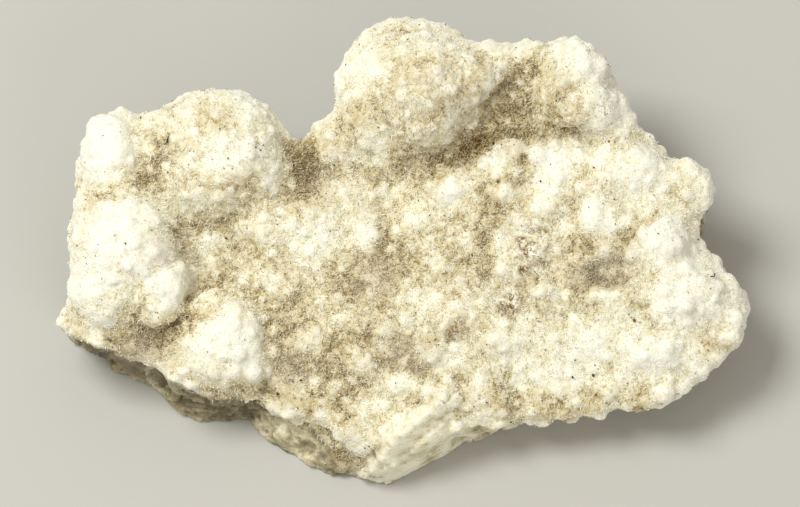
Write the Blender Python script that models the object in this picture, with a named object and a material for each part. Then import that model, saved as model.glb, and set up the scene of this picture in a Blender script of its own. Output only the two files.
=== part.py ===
"""Hydromagnesite hand specimen: a white crust of grape-like lumps on its own broken matrix.

The specimen grew as one mass, so it is one solid. It stands on a flat broken foot at Z = 0, and the
crust faces up and towards -Y. Sizes are in millimetres here and become metres as the mesh is placed.

Two frames are used. The stone's frame has +Z up and the foot at Z = 0. The crust's frame has its
own plane, the bed on which the lumps grew: u runs to the right, v up the slope of the bed, and w out
of the crust. The bed slopes up to the back by BED_TILT.
"""

import math
import random

import bmesh
import bpy
import numpy as np
from mathutils import Matrix, Vector, noise
from mathutils.bvhtree import BVHTree

MM = 0.001
NAME = "hydromagnesite"

# The bed that the crust grew on
BED_TILT = math.radians(20)
BED_HEIGHT = 15.0
BED_WORLD = Matrix.Translation((0, 0, BED_HEIGHT)) @ Matrix.Rotation(BED_TILT, 4, "X")

# The crust ends where the bed's slope drops this far under it, and where it faces too far down
CRUST_EDGE = -2.4
CRUST_FADE = 1.6
CRUST_FACING = -0.35
CRUST_FACING_FADE = 0.3

# The mesh: voxels of the two skins, triangles left, and how much more the crust keeps of them
SKIN_VOXEL = 0.8
CUTTER_VOXEL = 0.48
FINAL_VOXEL = 0.6
TRIANGLES = 11200
CRUST_CARE = 0.006
SEED = 7

# The edge of the crust in its own frame (u, v), clockwise from the left tip
RIM = [
    (-44.9, -8.9), (-43.6, -5.5), (-43.3, 0.0), (-42.9, 3.5), (-42.4, 5.2), (-42.9, 9.0),
    (-42.2, 13.5), (-41.2, 15.6), (-39.3, 17.6), (-36.8, 18.8), (-35.0, 17.6), (-33.6, 18.3),
    (-31.8, 18.3), (-30.4, 19.7), (-27.5, 20.8), (-24.0, 21.7), (-21.5, 21.6), (-19.6, 20.9),
    (-17.2, 18.8), (-15.9, 16.6), (-15.2, 14.9), (-14.2, 14.0), (-12.8, 15.0), (-11.6, 16.8),
    (-9.6, 18.5), (-8.9, 21.0), (-6.8, 23.6), (-5.2, 25.7), (-3.2, 27.9), (-0.6, 29.1),
    (2.0, 29.3), (5.0, 28.4), (9.0, 27.6), (13.0, 27.4), (17.0, 27.5), (20.3, 28.2),
    (23.0, 27.5), (25.2, 25.3), (27.2, 22.8), (28.7, 19.6), (30.0, 17.4), (32.6, 14.8),
    (34.8, 12.8), (37.6, 12.0), (39.6, 10.2), (40.3, 7.9), (39.7, 5.6), (37.6, 4.5),
    (38.6, 2.2), (40.6, -0.4), (42.8, -3.4), (44.9, -6.3), (44.5, -9.0), (43.4, -11.1),
    (41.2, -14.0), (38.4, -16.4), (36.2, -17.9), (34.2, -19.6), (31.8, -20.5), (28.0, -20.3),
    (24.0, -21.2), (19.0, -21.7), (14.0, -22.3), (9.5, -22.8), (5.5, -24.2), (1.3, -25.7),
    (-3.0, -26.6), (-7.0, -25.6), (-9.6, -22.9), (-13.0, -21.7), (-17.0, -20.8), (-20.0, -18.9),
    (-24.5, -19.3), (-28.5, -17.0), (-32.0, -15.0), (-36.0, -13.4), (-40.5, -12.2), (-43.4, -10.6),
]

# The outline of the broken foot in the stone's frame (x, y), clockwise from the left tip
FOOT = [
    (-44.2, -4.6), (-42.4, -0.5), (-41.0, 5.0), (-39.6, 11.0), (-36.0, 14.5), (-30.0, 16.4),
    (-24.0, 17.6), (-18.0, 16.8), (-14.0, 14.6), (-9.0, 17.0), (-5.0, 21.5), (1.0, 24.0),
    (9.0, 24.2), (17.0, 23.8), (23.0, 21.5), (27.0, 16.5), (32.0, 11.5), (37.0, 7.0),
    (40.6, 1.0), (41.0, -4.0), (38.6, -8.6), (34.0, -12.6), (28.5, -15.2), (21.0, -17.2),
    (15.0, -18.8), (10.0, -20.2), (5.0, -22.6), (1.5, -24.2), (-2.6, -26.6), (-6.6, -25.6),
    (-12.5, -24.2), (-18.3, -20.2), (-22.0, -17.8), (-26.5, -17.6), (-31.5, -15.4), (-35.5, -12.9),
    (-40.5, -9.6), (-44.0, -6.6),
]

# The loft between the two: its sides, its inset from the rim, and how thick the crust is over it
MATRIX_SIDES = 150
MATRIX_INSET = 0.97
FOOT_INSET = 0.985
FOOT_TOP = 1.2
FOOT_BOTTOM = -1.5
CRUST_THICKNESS = 2.0

# Broad swells that lift the middle of the bed: u, v, radius in u, radius in v, height of the top
SWELLS = [
    (5.0, -7.0, 31.0, 14.5, 3.2),
    (27.4, 0.0, 10.2, 14.5, 4.6),
    (33.0, -7.4, 9.8, 10.4, 3.6),
    (-13.0, 1.5, 15.0, 9.5, 2.6),
    (-35.0, 3.0, 9.0, 14.0, 3.8),
    (-25.6, 11.6, 10.0, 9.8, 3.4),
    (-24.0, -12.0, 9.0, 7.5, 2.9),
    (1.0, 21.5, 10.5, 9.5, 4.6),
    (14.0, 6.0, 11.0, 9.5, 3.6),
    (20.8, 21.0, 7.0, 6.6, 4.5),
    (5.0, -18.6, 13.0, 5.6, 2.2),
]
SWELL_DEPTH = 7.0

# The lumps that show from across a room: u, v, radius in u, radius in v, rise over the swells
LUMPS_LEFT = [
    (-38.0, 12.8, 4.0, 5.7, 4.0),
    (-31.4, 15.0, 3.6, 4.2, 1.8),
    (-24.0, 13.3, 7.9, 8.2, 4.0),
    (-19.6, 11.2, 4.0, 5.6, 2.8),
    (-28.2, 9.8, 4.2, 3.8, 1.9),
    (-36.6, 1.6, 6.6, 7.4, 4.4),
    (-38.8, -3.6, 5.0, 5.6, 4.0),
    (-32.2, -4.4, 4.2, 5.0, 3.6),
    (-39.6, -10.4, 3.2, 2.6, 2.2),
    (-34.8, -12.0, 3.4, 2.2, 1.6),
    (-24.0, -11.2, 6.6, 6.4, 2.9),
    (-27.8, -14.2, 4.2, 3.4, 2.0),
    (-20.4, -13.4, 3.2, 4.2, 1.8),
    (-25.6, 2.0, 2.6, 2.6, 1.8),
    (-40.8, 6.0, 2.4, 2.8, 1.8),
]
LUMPS_MIDDLE = [
    (-12.4, 5.0, 5.8, 4.0, 1.7),
    (-18.0, 4.2, 3.8, 3.0, 1.9),
    (-7.8, 8.0, 3.6, 2.6, 2.0),
    (-5.4, 3.2, 2.6, 4.0, 1.4),
    (-20.6, -2.9, 2.0, 1.7, 1.1),
    (-16.6, -3.4, 3.8, 2.8, 1.0),
    (-12.2, -10.6, 2.4, 2.2, 1.2),
    (-6.2, -12.8, 3.2, 2.5, 1.3),
    (-16.2, -12.8, 2.6, 2.4, 1.0),
    (-2.4, -8.4, 2.6, 2.5, 0.9),
    (2.0, 4.8, 3.2, 2.6, 1.9),
    (6.0, 8.4, 3.8, 3.0, 2.4),
    (6.6, 3.2, 3.0, 3.2, 1.2),
    (4.6, -2.2, 2.8, 2.6, 0.8),
    (6.4, -7.6, 2.8, 2.4, 1.1),
    (2.8, -12.0, 3.0, 2.6, 0.8),
    (12.6, -10.6, 3.4, 2.8, 1.0),
    (13.8, -1.8, 3.4, 3.4, 1.4),
    (17.8, -4.6, 1.7, 1.9, 1.3),
    (18.2, 1.8, 3.2, 2.8, 1.2),
]
LUMPS_TOP = [
    (1.6, 22.6, 7.2, 6.1, 2.4),
    (-4.2, 18.8, 3.8, 5.2, 1.9),
    (-1.8, 23.2, 3.4, 3.3, 2.1),
    (2.4, 17.8, 4.6, 3.6, 1.3),
    (-9.4, 14.8, 3.2, 3.4, 2.5),
    (6.4, 22.8, 4.6, 4.2, 2.0),
    (10.8, 25.2, 4.2, 2.8, 3.2),
    (15.6, 25.2, 3.8, 2.8, 3.2),
    (21.4, 24.0, 4.4, 3.8, 2.9),
    (23.0, 19.0, 4.6, 3.6, 2.3),
    (18.8, 21.2, 2.8, 3.0, 0.8),
    (26.6, 17.4, 3.2, 3.8, 3.0),
    (-2.4, 14.4, 3.2, 2.6, 0.9),
]
LUMPS_RIGHT = [
    (12.6, 12.2, 3.2, 3.0, 2.4),
    (19.6, 11.8, 4.4, 3.4, 3.8),
    (28.6, 11.0, 5.6, 3.4, 3.2),
    (24.6, 8.6, 3.2, 3.0, 2.3),
    (36.8, 8.7, 3.5, 3.5, 3.4),
    (32.8, 8.8, 3.8, 3.8, 2.0),
    (32.6, 1.8, 4.0, 3.9, 2.0),
    (25.4, 4.6, 2.8, 2.2, 1.6),
    (18.6, 7.2, 2.7, 2.9, 1.8),
    (12.9, 8.4, 1.8, 2.3, 1.1),
    (35.4, -5.0, 6.0, 4.8, 1.9),
    (40.4, -6.4, 3.8, 4.4, 1.9),
    (31.8, -11.8, 4.8, 3.8, 1.5),
    (37.8, -12.0, 3.8, 3.6, 1.1),
    (24.8, -10.6, 3.4, 3.0, 1.0),
    (19.8, -16.0, 4.4, 3.4, 1.5),
    (27.8, -16.4, 4.2, 2.8, 1.7),
]
LUMPS_BOTTOM = [
    (-0.6, -17.0, 3.0, 2.6, 1.7),
    (4.0, -17.8, 3.0, 2.4, 1.5),
    (-5.6, -20.2, 2.8, 3.0, 1.6),
    (9.8, -17.6, 2.8, 2.6, 1.4),
    (-15.2, -19.6, 2.2, 1.8, 1.6),
    (-10.8, -19.8, 2.0, 2.0, 1.8),
    (17.4, -19.6, 2.4, 2.0, 1.6),
]
LUMPS = LUMPS_LEFT + LUMPS_MIDDLE + LUMPS_TOP + LUMPS_RIGHT + LUMPS_BOTTOM
LUMP_FULLNESS = 0.74

# The bare block at the front tip: its crest and root in the crust's frame (u, v, w), base (x, y, z)
BLOCK_ROOT = (0.0, -20.0, -6.0)
BLOCK_CREST = [
    (-5.0, -24.9, 1.2), (-2.6, -22.0, 3.2), (0.2, -19.8, 4.2), (4.4, -19.0, 3.8),
    (7.4, -21.4, 1.8), (3.4, -24.0, 1.6), (-1.0, -24.2, 2.4),
]
BLOCK_BASE = [(-5.4, -26.0, 0.6), (-2.7, -26.9, 0.0), (1.4, -24.5, 0.0), (5.0, -22.8, 0.6)]
BLOCK_MIDDLE = Vector((1.2, -22.6))
BLOCK_BARE = 5.2

# Hollows between the lumps: u, v, radius in u, radius in v, height of the floor
HOLLOWS = [
    (26.2, -2.2, 5.2, 3.4, 1.8),
    (13.0, 19.0, 5.2, 4.4, 0.4),
    (7.2, 13.6, 4.6, 2.2, 0.2),
    (-13.0, 9.8, 2.4, 3.2, -0.6),
    (-3.4, -1.8, 4.2, 2.6, 2.0),
    (21.0, 15.4, 5.6, 1.6, 1.6),
    (-14.0, -24.2, 4.6, 2.6, -4.0),
]
HOLLOW_HEIGHT = 7.0

# Creases that part the lumps: radius, depth under the swells, line (u, v)
CREASES = [
    (1.4, -1.3, [(-35.2, 18.2), (-34.6, 14.0), (-33.4, 10.2), (-32.2, 7.6)]),
    (1.3, -1.6, [(-33.4, 9.4), (-37.2, 8.4), (-41.4, 8.2)]),
    (1.4, -0.6, [(-30.6, 6.4), (-28.8, 3.2), (-27.6, -3.0), (-28.2, -7.4), (-31.0, -10.2)]),
    (1.2, 0.5, [(15.8, 14.6), (14.9, 10.4), (11.2, 6.4), (10.3, 1.4), (10.4, -3.0)]),
    (1.1, 0.3, [(21.2, 9.6), (21.4, 5.6), (22.4, 1.8)]),
    (1.0, 0.3, [(28.8, 6.4), (28.6, 1.6)]),
    (1.4, 1.0, [(3.6, 12.0), (8.0, 13.4), (11.0, 15.0), (14.0, 16.4)]),
    (1.0, 0.7, [(13.8, -17.0), (13.8, -21.6)]),
    (1.2, 0.3, [(-18.2, -8.0), (-17.6, -14.0), (-18.4, -18.6)]),
]
CREASE_STEP = 0.8

# Beads of the crust: the rim's own, and small ones all over it
RIM_BEAD = 2.6
RIM_BEADS = 83
RIM_BEAD_HEIGHTS = (-1.8, -0.2)
BEAD_SPACING = 2.9
BEAD_TRIES = 9000
BEAD_FIELD = (46.0, 31.0)
BEAD_START = 40.0
BEAD_RADII = (1.5, 2.1)
BEAD_SHOWS = 0.4

# Rough fracture of the matrix, in flat facets of two sizes: spacing and steepness of each
FACETS = [(11.0, 0.30), (4.4, 0.34)]
FACET_REACH = (-1.3, 0.2)


def to_stone(u, v, w):
    """A point of the crust's frame in the stone's frame."""
    return BED_WORLD @ Vector((u, v, w))


def swell_height(u, v):
    """Height of the swollen bed at a place on it."""
    height = 0.0
    for place_u, place_v, radius_u, radius_v, top in SWELLS:
        inside = 1 - ((u - place_u) / radius_u) ** 2 - ((v - place_v) / radius_v) ** 2
        if inside > 0:
            height = max(height, top - SWELL_DEPTH * (1 - math.sqrt(inside)))
    return height


def closed_curve(points, count):
    """A smooth closed curve through the points, resampled to count points at even steps."""
    corners = np.array(points, float)
    n = len(corners)
    fine = []
    for i in range(n):
        a, b, c, d = (corners[(i + k) % n] for k in (-1, 0, 1, 2))
        for t in np.linspace(0, 1, 8, endpoint=False):
            fine.append(
                0.5 * (2 * b + (c - a) * t + (2 * a - 5 * b + 4 * c - d) * t**2
                       + (3 * b - a - 3 * c + d) * t**3)
            )
    fine = np.array(fine + fine[:1])
    along = np.concatenate([[0], np.cumsum(np.linalg.norm(np.diff(fine, axis=0), axis=1))])
    at = np.linspace(0, along[-1], count, endpoint=False)
    return np.stack([np.interp(at, along, fine[:, k]) for k in (0, 1)], 1)


def add_matrix(mesh):
    """The mass under the crust: a loft from the crust's edge down to the broken foot."""
    top = closed_curve(RIM, MATRIX_SIDES) * MATRIX_INSET
    foot = closed_curve(FOOT, MATRIX_SIDES)
    rings = [
        [to_stone(u, v, 0.0) for u, v in top],
        [to_stone(u, v, -CRUST_THICKNESS) for u, v in top],
        [Vector((x, y, FOOT_TOP)) for x, y in foot],
        [Vector((x, y, FOOT_BOTTOM)) for x, y in foot * FOOT_INSET],
    ]
    loops = [[mesh.verts.new(p) for p in ring] for ring in rings]
    for upper, lower in zip(loops, loops[1:]):
        for i in range(MATRIX_SIDES):
            j = (i + 1) % MATRIX_SIDES
            mesh.faces.new((upper[i], upper[j], lower[j], lower[i]))
    for loop, ring in ((loops[0], rings[0]), (loops[-1], rings[-1])):
        centre = mesh.verts.new(sum(ring, Vector()) / MATRIX_SIDES)
        for i in range(MATRIX_SIDES):
            mesh.faces.new((centre, loop[i], loop[(i + 1) % MATRIX_SIDES]))


def add_block(mesh):
    """The broken block at the front tip, the hull of its corners."""
    points = [to_stone(*p) for p in BLOCK_CREST + [BLOCK_ROOT]] + [Vector(p) for p in BLOCK_BASE]
    corners = [mesh.verts.new(p) for p in points]
    bmesh.ops.convex_hull(mesh, input=corners)


def add_ball(mesh, centre, radii, detail=3):
    """An ellipsoid in the crust's frame, as a sphere of triangles."""
    place = BED_WORLD @ Matrix.Translation(centre) @ Matrix.Diagonal((*radii, 1.0))
    bmesh.ops.create_icosphere(mesh, subdivisions=detail, radius=1.0, matrix=place)


def add_lumps(mesh):
    """The swells, and the lumps that stand on them."""
    for u, v, radius_u, radius_v, top in SWELLS:
        add_ball(mesh, (u, v, top - SWELL_DEPTH), (radius_u, radius_v, SWELL_DEPTH), detail=4)
    for u, v, radius_u, radius_v, rise in LUMPS:
        half = LUMP_FULLNESS * (radius_u + radius_v) / 2
        top = swell_height(u, v) + rise
        add_ball(mesh, (u, v, top - half), (radius_u, radius_v, half), detail=4)


def add_rim_beads(mesh, draw):
    """Beads along the crust's edge, each just inside the outline, which it scallops."""
    edge = closed_curve(RIM, RIM_BEADS * 4)
    for k in range(RIM_BEADS):
        i = 4 * k + draw.randint(-1, 1)
        here = edge[i % len(edge)]
        tangent = edge[(i + 2) % len(edge)] - edge[i - 2]
        tangent /= np.linalg.norm(tangent)
        inward = np.array([tangent[1], -tangent[0]])
        radius = RIM_BEAD * draw.uniform(0.72, 1.18)
        u, v = here + inward * radius * 0.97
        add_ball(mesh, (u, v, draw.uniform(*RIM_BEAD_HEIGHTS)), (radius,) * 3)


def joined(build):
    """A new object whose mesh the function build fills, in millimetres."""
    mesh = bmesh.new()
    build(mesh)
    bmesh.ops.recalc_face_normals(mesh, faces=mesh.faces)
    data = bpy.data.meshes.new(NAME)
    mesh.to_mesh(data)
    mesh.free()
    obj = bpy.data.objects.new(NAME, data)
    bpy.context.scene.collection.objects.link(obj)
    return obj


def settle(obj):
    """Replaces the object's mesh by what its modifiers make, and drops them."""
    graph = bpy.context.evaluated_depsgraph_get()
    made = bpy.data.meshes.new_from_object(obj.evaluated_get(graph))
    obj.modifiers.clear()
    obj.data = made
    return obj


def fused(obj, voxel, smoothing):
    """One closed skin over all the shapes in the mesh."""
    skin = obj.modifiers.new("skin", "REMESH")
    skin.mode = "VOXEL"
    skin.voxel_size = voxel
    if smoothing:
        ease = obj.modifiers.new("ease", "SMOOTH")
        ease.factor = 0.5
        ease.iterations = smoothing
    return settle(obj)


def crease_places():
    """Where the cutters of the creases stand: place (u, v), radius and floor."""
    for radius, depth, line in CREASES:
        for start, end in zip(line, line[1:]):
            start, end = Vector(start), Vector(end)
            steps = max(1, round((end - start).length / CREASE_STEP))
            for k in range(steps + 1):
                u, v = start.lerp(end, k / steps)
                yield u, v, radius, swell_height(u, v) - depth


def hollowed(obj):
    """The hollows and creases cut out of the skin."""

    def fill(mesh):
        for u, v, radius_u, radius_v, floor in HOLLOWS:
            add_ball(mesh, (u, v, floor + HOLLOW_HEIGHT), (radius_u, radius_v, HOLLOW_HEIGHT))
        for u, v, radius, floor in crease_places():
            add_ball(mesh, (u, v, floor + HOLLOW_HEIGHT), (radius, radius, HOLLOW_HEIGHT), detail=2)

    cutter = fused(joined(fill), CUTTER_VOXEL, 0)
    cutter.hide_render = True
    cutter.display_type = "WIRE"
    cut = obj.modifiers.new("hollows", "BOOLEAN")
    cut.object = cutter
    cut.operation = "DIFFERENCE"
    settle(obj)
    bpy.data.objects.remove(cutter)
    return obj


def crust_share(point, normal):
    """1 on the crust, 0 on the broken sides and foot, in the stone's frame."""
    place = BED_WORLD.inverted() @ point
    out = BED_WORLD.to_3x3().inverted() @ normal
    high = (place.z - CRUST_EDGE) / CRUST_FADE
    facing = (out.z - CRUST_FACING) / CRUST_FACING_FADE
    return max(0.0, min(1.0, high)) * max(0.0, min(1.0, facing))


def add_beads(mesh, skin, draw):
    """Small beads all over the crust, side by side, most of each one sunk in the skin."""
    tree = BVHTree.FromObject(skin, bpy.context.evaluated_depsgraph_get())
    down = BED_WORLD.to_3x3() @ Vector((0, 0, -1))
    kept = []
    for _ in range(BEAD_TRIES):
        u, v = (draw.uniform(-reach, reach) for reach in BEAD_FIELD)
        radius = draw.uniform(*BEAD_RADII)
        place, normal, _, _ = tree.ray_cast(to_stone(u, v, BEAD_START), down)
        on_block = (Vector((u, v)) - BLOCK_MIDDLE).length < BLOCK_BARE
        if place is None or on_block or crust_share(place, normal) < 0.9:
            continue
        if any((place - other).length < BEAD_SPACING for other in kept):
            continue
        kept.append(place)
        centre = place - normal * radius * (1 - BEAD_SHOWS * draw.uniform(0.6, 1.0))
        add_ball(mesh, BED_WORLD.inverted() @ centre, (radius, radius * draw.uniform(0.8, 1.1), radius))


def facet_rise(point):
    """How far the fracture stands out at a point: every cell of the stone breaks along its own plane."""
    rise = 0.0
    for spacing, steepness in FACETS:
        middle = noise.voronoi(point / spacing)[1][0] * spacing
        tilt = (noise.cell_vector(middle * 3.7) - Vector((0.5, 0.5, 0.5))) * 2 * steepness
        rise += (point - middle).dot(tilt)
    return max(FACET_REACH[0], min(FACET_REACH[1], rise))


def fractured(obj):
    """Breaks up the sides and foot, which the crust doesn't cover."""
    mesh = bmesh.new()
    mesh.from_mesh(obj.data)
    mesh.normal_update()
    for vert in mesh.verts:
        bare = 1 - crust_share(vert.co, vert.normal)
        if bare <= 0:
            continue
        vert.co += vert.normal * bare * facet_rise(vert.co)
    mesh.to_mesh(obj.data)
    mesh.free()
    return obj


def thinned(obj, triangles):
    """Fewer triangles, most of them kept on the crust and where the surface curves."""
    now = sum(len(p.vertices) - 2 for p in obj.data.polygons)
    bare = obj.vertex_groups.new(name="bare")
    for vert in obj.data.vertices:
        bare.add([vert.index], 1 - 0.5 * crust_share(vert.co, vert.normal), "REPLACE")
    thin = obj.modifiers.new("thin", "DECIMATE")
    thin.ratio = triangles / now
    thin.vertex_group = bare.name
    thin.vertex_group_factor = CRUST_CARE
    return settle(obj)


def cut_flat(obj):
    """The flat break that the stone stands on, at Z = 0."""
    mesh = bmesh.new()
    mesh.from_mesh(obj.data)
    everything = mesh.verts[:] + mesh.edges[:] + mesh.faces[:]
    cut = bmesh.ops.bisect_plane(
        mesh, geom=everything, plane_co=(0, 0, 0), plane_no=(0, 0, -1), clear_outer=True
    )
    edges = [e for e in cut["geom_cut"] if isinstance(e, bmesh.types.BMEdge)]
    filled = bmesh.ops.triangle_fill(mesh, edges=edges, use_beauty=True, normal=(0, 0, -1))
    for face in filled["geom"]:
        if isinstance(face, bmesh.types.BMFace) and face.normal.z > 0:
            face.normal_flip()
    bmesh.ops.triangulate(mesh, faces=mesh.faces)
    mesh.to_mesh(obj.data)
    mesh.free()
    return obj


def centred(obj):
    """The mesh in metres, with its box centred over the origin and its foot at Z = 0."""
    co = np.empty(len(obj.data.vertices) * 3, np.float32)
    obj.data.vertices.foreach_get("co", co)
    co = co.reshape(-1, 3)
    low, high = co.min(0), co.max(0)
    middle = (low + high) / 2
    shift = Vector((-middle[0], -middle[1], -low[2]))
    obj.data.transform(Matrix.Scale(MM, 4) @ Matrix.Translation(shift))
    print("shift in mm:", [round(x, 2) for x in shift], "size in mm:", high - low)
    return obj


def crust_material():
    """Chalk-white crystalline magnesium carbonate, matt with a faint silky sheen."""
    material = bpy.data.materials.new("hydromagnesite")
    material.use_nodes = True
    shader = material.node_tree.nodes["Principled BSDF"]
    shader.inputs["Base Color"].default_value = (0.83, 0.79, 0.66, 1)
    shader.inputs["Roughness"].default_value = 0.75
    shader.inputs["Metallic"].default_value = 0.0
    return material


def main():
    for obj in list(bpy.data.objects):
        bpy.data.objects.remove(obj)
    draw = random.Random(SEED)

    def core(mesh):
        add_matrix(mesh)
        add_lumps(mesh)
        add_rim_beads(mesh, draw)

    skin = fractured(hollowed(fused(joined(core), SKIN_VOXEL, 1)))

    def beaded(mesh):
        mesh.from_mesh(skin.data)
        add_beads(mesh, skin, draw)
        add_block(mesh)

    stone = fused(joined(beaded), FINAL_VOXEL, 1)
    bpy.data.objects.remove(skin)
    stone.name = NAME
    centred(cut_flat(thinned(stone, TRIANGLES)))
    stone.data.materials.clear()
    stone.data.materials.append(crust_material())
    stone.data.shade_smooth()


main()
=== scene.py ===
# %% [markdown]
# # A hydromagnesite hand specimen
#
# The real thing is a lump of white mineral, about nine centimetres long. Its upper side is a crust of
# rounded lumps, and the crust itself is a felt of tiny blades and needles, so it looks like coarse
# sugar or icing. Its lower side is the broken rock on which the crust grew.
#
# The imported solid already has the lumps that show from across a room. This lesson keeps that solid as
# its ground and grows the rest on it: fine beads, the needles, some of them dark as painted shadow, the
# tan film of its hollows with painted shade in it, and the few dark grains and fibres that lie on it.

import math

import bmesh
import bpy
import numpy as np
from mathutils import Matrix, Vector, noise
from mathutils.bvhtree import BVHTree


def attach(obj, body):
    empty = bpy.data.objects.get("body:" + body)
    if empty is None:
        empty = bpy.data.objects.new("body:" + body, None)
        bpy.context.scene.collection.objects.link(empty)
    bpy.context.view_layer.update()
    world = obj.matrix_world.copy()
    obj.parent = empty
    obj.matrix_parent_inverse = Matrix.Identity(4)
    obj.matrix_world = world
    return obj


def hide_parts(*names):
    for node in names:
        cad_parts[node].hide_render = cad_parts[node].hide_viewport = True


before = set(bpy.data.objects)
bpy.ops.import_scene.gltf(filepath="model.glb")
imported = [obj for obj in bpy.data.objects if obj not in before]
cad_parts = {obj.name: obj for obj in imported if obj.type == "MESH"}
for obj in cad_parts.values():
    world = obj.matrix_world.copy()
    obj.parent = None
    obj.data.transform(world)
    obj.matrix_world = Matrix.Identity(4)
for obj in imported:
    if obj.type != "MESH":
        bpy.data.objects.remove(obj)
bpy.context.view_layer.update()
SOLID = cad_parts["hydromagnesite"]

# %% [markdown]
# ## Two ways to say where something is
#
# The crust grew on a bed that slopes up to the back by twenty degrees, and the photograph looks
# straight down on that bed. So a place on the crust is easiest to read as u to the right, v up the
# slope and w out of the bed, all in millimetres. One matrix carries such a place to the world and its
# inverse brings it back.

# %% The bed's own frame
MM = 0.001
BED_SLOPE = math.radians(20)
BED = Matrix.Translation((0.03, -1.73, 15.0)) @ Matrix.Rotation(BED_SLOPE, 4, "X")
BED_TURN = np.array(BED.to_3x3())
BED_PLACE = np.array(BED.translation)
OUT_OF_BED = BED_TURN[:, 2]


def to_world(places):
    """Places (u, v, w) of the bed in the world, all in millimetres."""
    return np.asarray(places, float) @ BED_TURN.T + BED_PLACE


def to_bed(points):
    """Points of the world in the bed's frame, all in millimetres."""
    return (np.asarray(points, float) - BED_PLACE) @ BED_TURN


print("out of the bed:", OUT_OF_BED.round(3))

# %% [markdown]
# ## Colours
#
# Colours are given as the usual six-digit codes. A renderer adds light in linear values, so
# one function turns the codes to those.


# %% Colour codes to linear light
def linear(code):
    """An sRGB colour code such as #FFFFFF as linear red, green, blue and alpha."""
    parts = [int(code[i:i + 2], 16) / 255 for i in (1, 3, 5)]
    return [p / 12.92 if p <= 0.04045 else ((p + 0.055) / 1.055) ** 2.4 for p in parts] + [1.0]


print("cream in linear light:", [round(x, 3) for x in linear("#EFE6CB")])

# %% [markdown]
# ## The camera
#
# The photograph was taken from in front and well above, at seventy degrees, with a long lens: the far
# lobes are no smaller than the near ones. The frame takes in about 104 mm at the stone.

# %% Set up the camera
VIEW_WIDTH = 103.6
CAMERA_DISTANCE = 900.0
SENSOR_WIDTH = 36.0
FARTHEST_SEEN = 10.0  # metres
AIM = (-0.65, 0.19, 2.0)

lens = bpy.data.cameras.new("camera")
lens.sensor_width = SENSOR_WIDTH
lens.lens = lens.sensor_width * CAMERA_DISTANCE / VIEW_WIDTH
lens.clip_end = FARTHEST_SEEN
camera = bpy.data.objects.new("camera", lens)
bpy.context.scene.collection.objects.link(camera)
aim = Vector(to_world(AIM)) * MM
camera.matrix_world = (
    Matrix.Translation(aim + Vector(OUT_OF_BED) * CAMERA_DISTANCE * MM)
    @ Matrix.Rotation(BED_SLOPE, 4, "X")
)
bpy.context.scene.camera = camera
print("lens, mm:", round(lens.lens, 1))

# %% [markdown]
# ## The light
#
# White stone keeps its modelling only when one light is clearly the strongest. A soft square of light
# stands to the upper left, close to the camera's side. A weaker one from the lower right lights the
# broken edge, and an even sky fills the shadows. The plain transform is used, so that the domes burn
# out almost to white as in the photograph.

# %% Key light, fill and sky
# direction in the bed's frame, side of the square in millimetres, watts
LIGHTS = {
    "key": ((-0.40, 0.42, 0.82), 260.0, 3.76),
    "fill": ((0.35, -0.55, 0.80), 400.0, 0.85),
}
LIGHT_DISTANCE = 700.0
LAMP_COLOUR = "#FFFEF8"
SKY = "#F8F1E2"
SKY_STRENGTH = 0.50

for name, (direction, size, watts) in LIGHTS.items():
    lamp = bpy.data.lights.new(name, "AREA")
    lamp.size = size * MM
    lamp.energy = watts
    lamp.color = linear(LAMP_COLOUR)[:3]
    lamp_place = bpy.data.objects.new(name, lamp)
    bpy.context.scene.collection.objects.link(lamp_place)
    toward = Vector(BED_TURN @ np.array(direction)).normalized()
    lamp_place.location = toward * LIGHT_DISTANCE * MM
    lamp_place.rotation_mode = "QUATERNION"
    lamp_place.rotation_quaternion = toward.to_track_quat("Z", "Y")

sky = bpy.data.worlds.new("sky")
sky.use_nodes = True
glow = sky.node_tree.nodes["Background"].inputs
glow["Color"].default_value = linear(SKY)
glow["Strength"].default_value = SKY_STRENGTH
bpy.context.scene.world = sky
bpy.context.scene.view_settings.view_transform = "Standard"
print("lights, watts:", {name: watts for name, (_, _, watts) in LIGHTS.items()})

# %% [markdown]
# ## Helpers for materials and meshes
#
# A material is a small graph. One function adds a node with its settings and links, whatever its
# kind. Large meshes are made straight from arrays of corners, which is many times quicker than adding
# one face after another.


# %% One node, and one mesh
def add(material, kind, sockets=None, **settings):
    """Adds a node of that kind. A socket takes a value, or another node's output to link."""
    made = material.node_tree.nodes.new("ShaderNode" + kind)
    for name, value in settings.items():
        setattr(made, name, value)
    for name, value in (sockets or {}).items():
        if isinstance(value, bpy.types.NodeSocket):
            material.node_tree.links.new(value, made.inputs[name])
        else:
            made.inputs[name].default_value = value
    return made


def new_material(name):
    """An empty material with its graph switched on."""
    made = bpy.data.materials.new(name)
    made.use_nodes = True
    made.node_tree.nodes.clear()
    return made


def finish_material(material, surface):
    """Links a shader to the material's output."""
    add(material, "OutputMaterial", {"Surface": surface.outputs[0]})
    return material


def set_stops(ramp, stops):
    """Gives a colour ramp its stops, as (place, colour code)."""
    band = ramp.color_ramp
    while len(band.elements) < len(stops):
        band.elements.new(1.0)
    for stop, (place, code) in zip(band.elements, stops):
        stop.position = place
        stop.color = linear(code)
    return ramp


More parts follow.
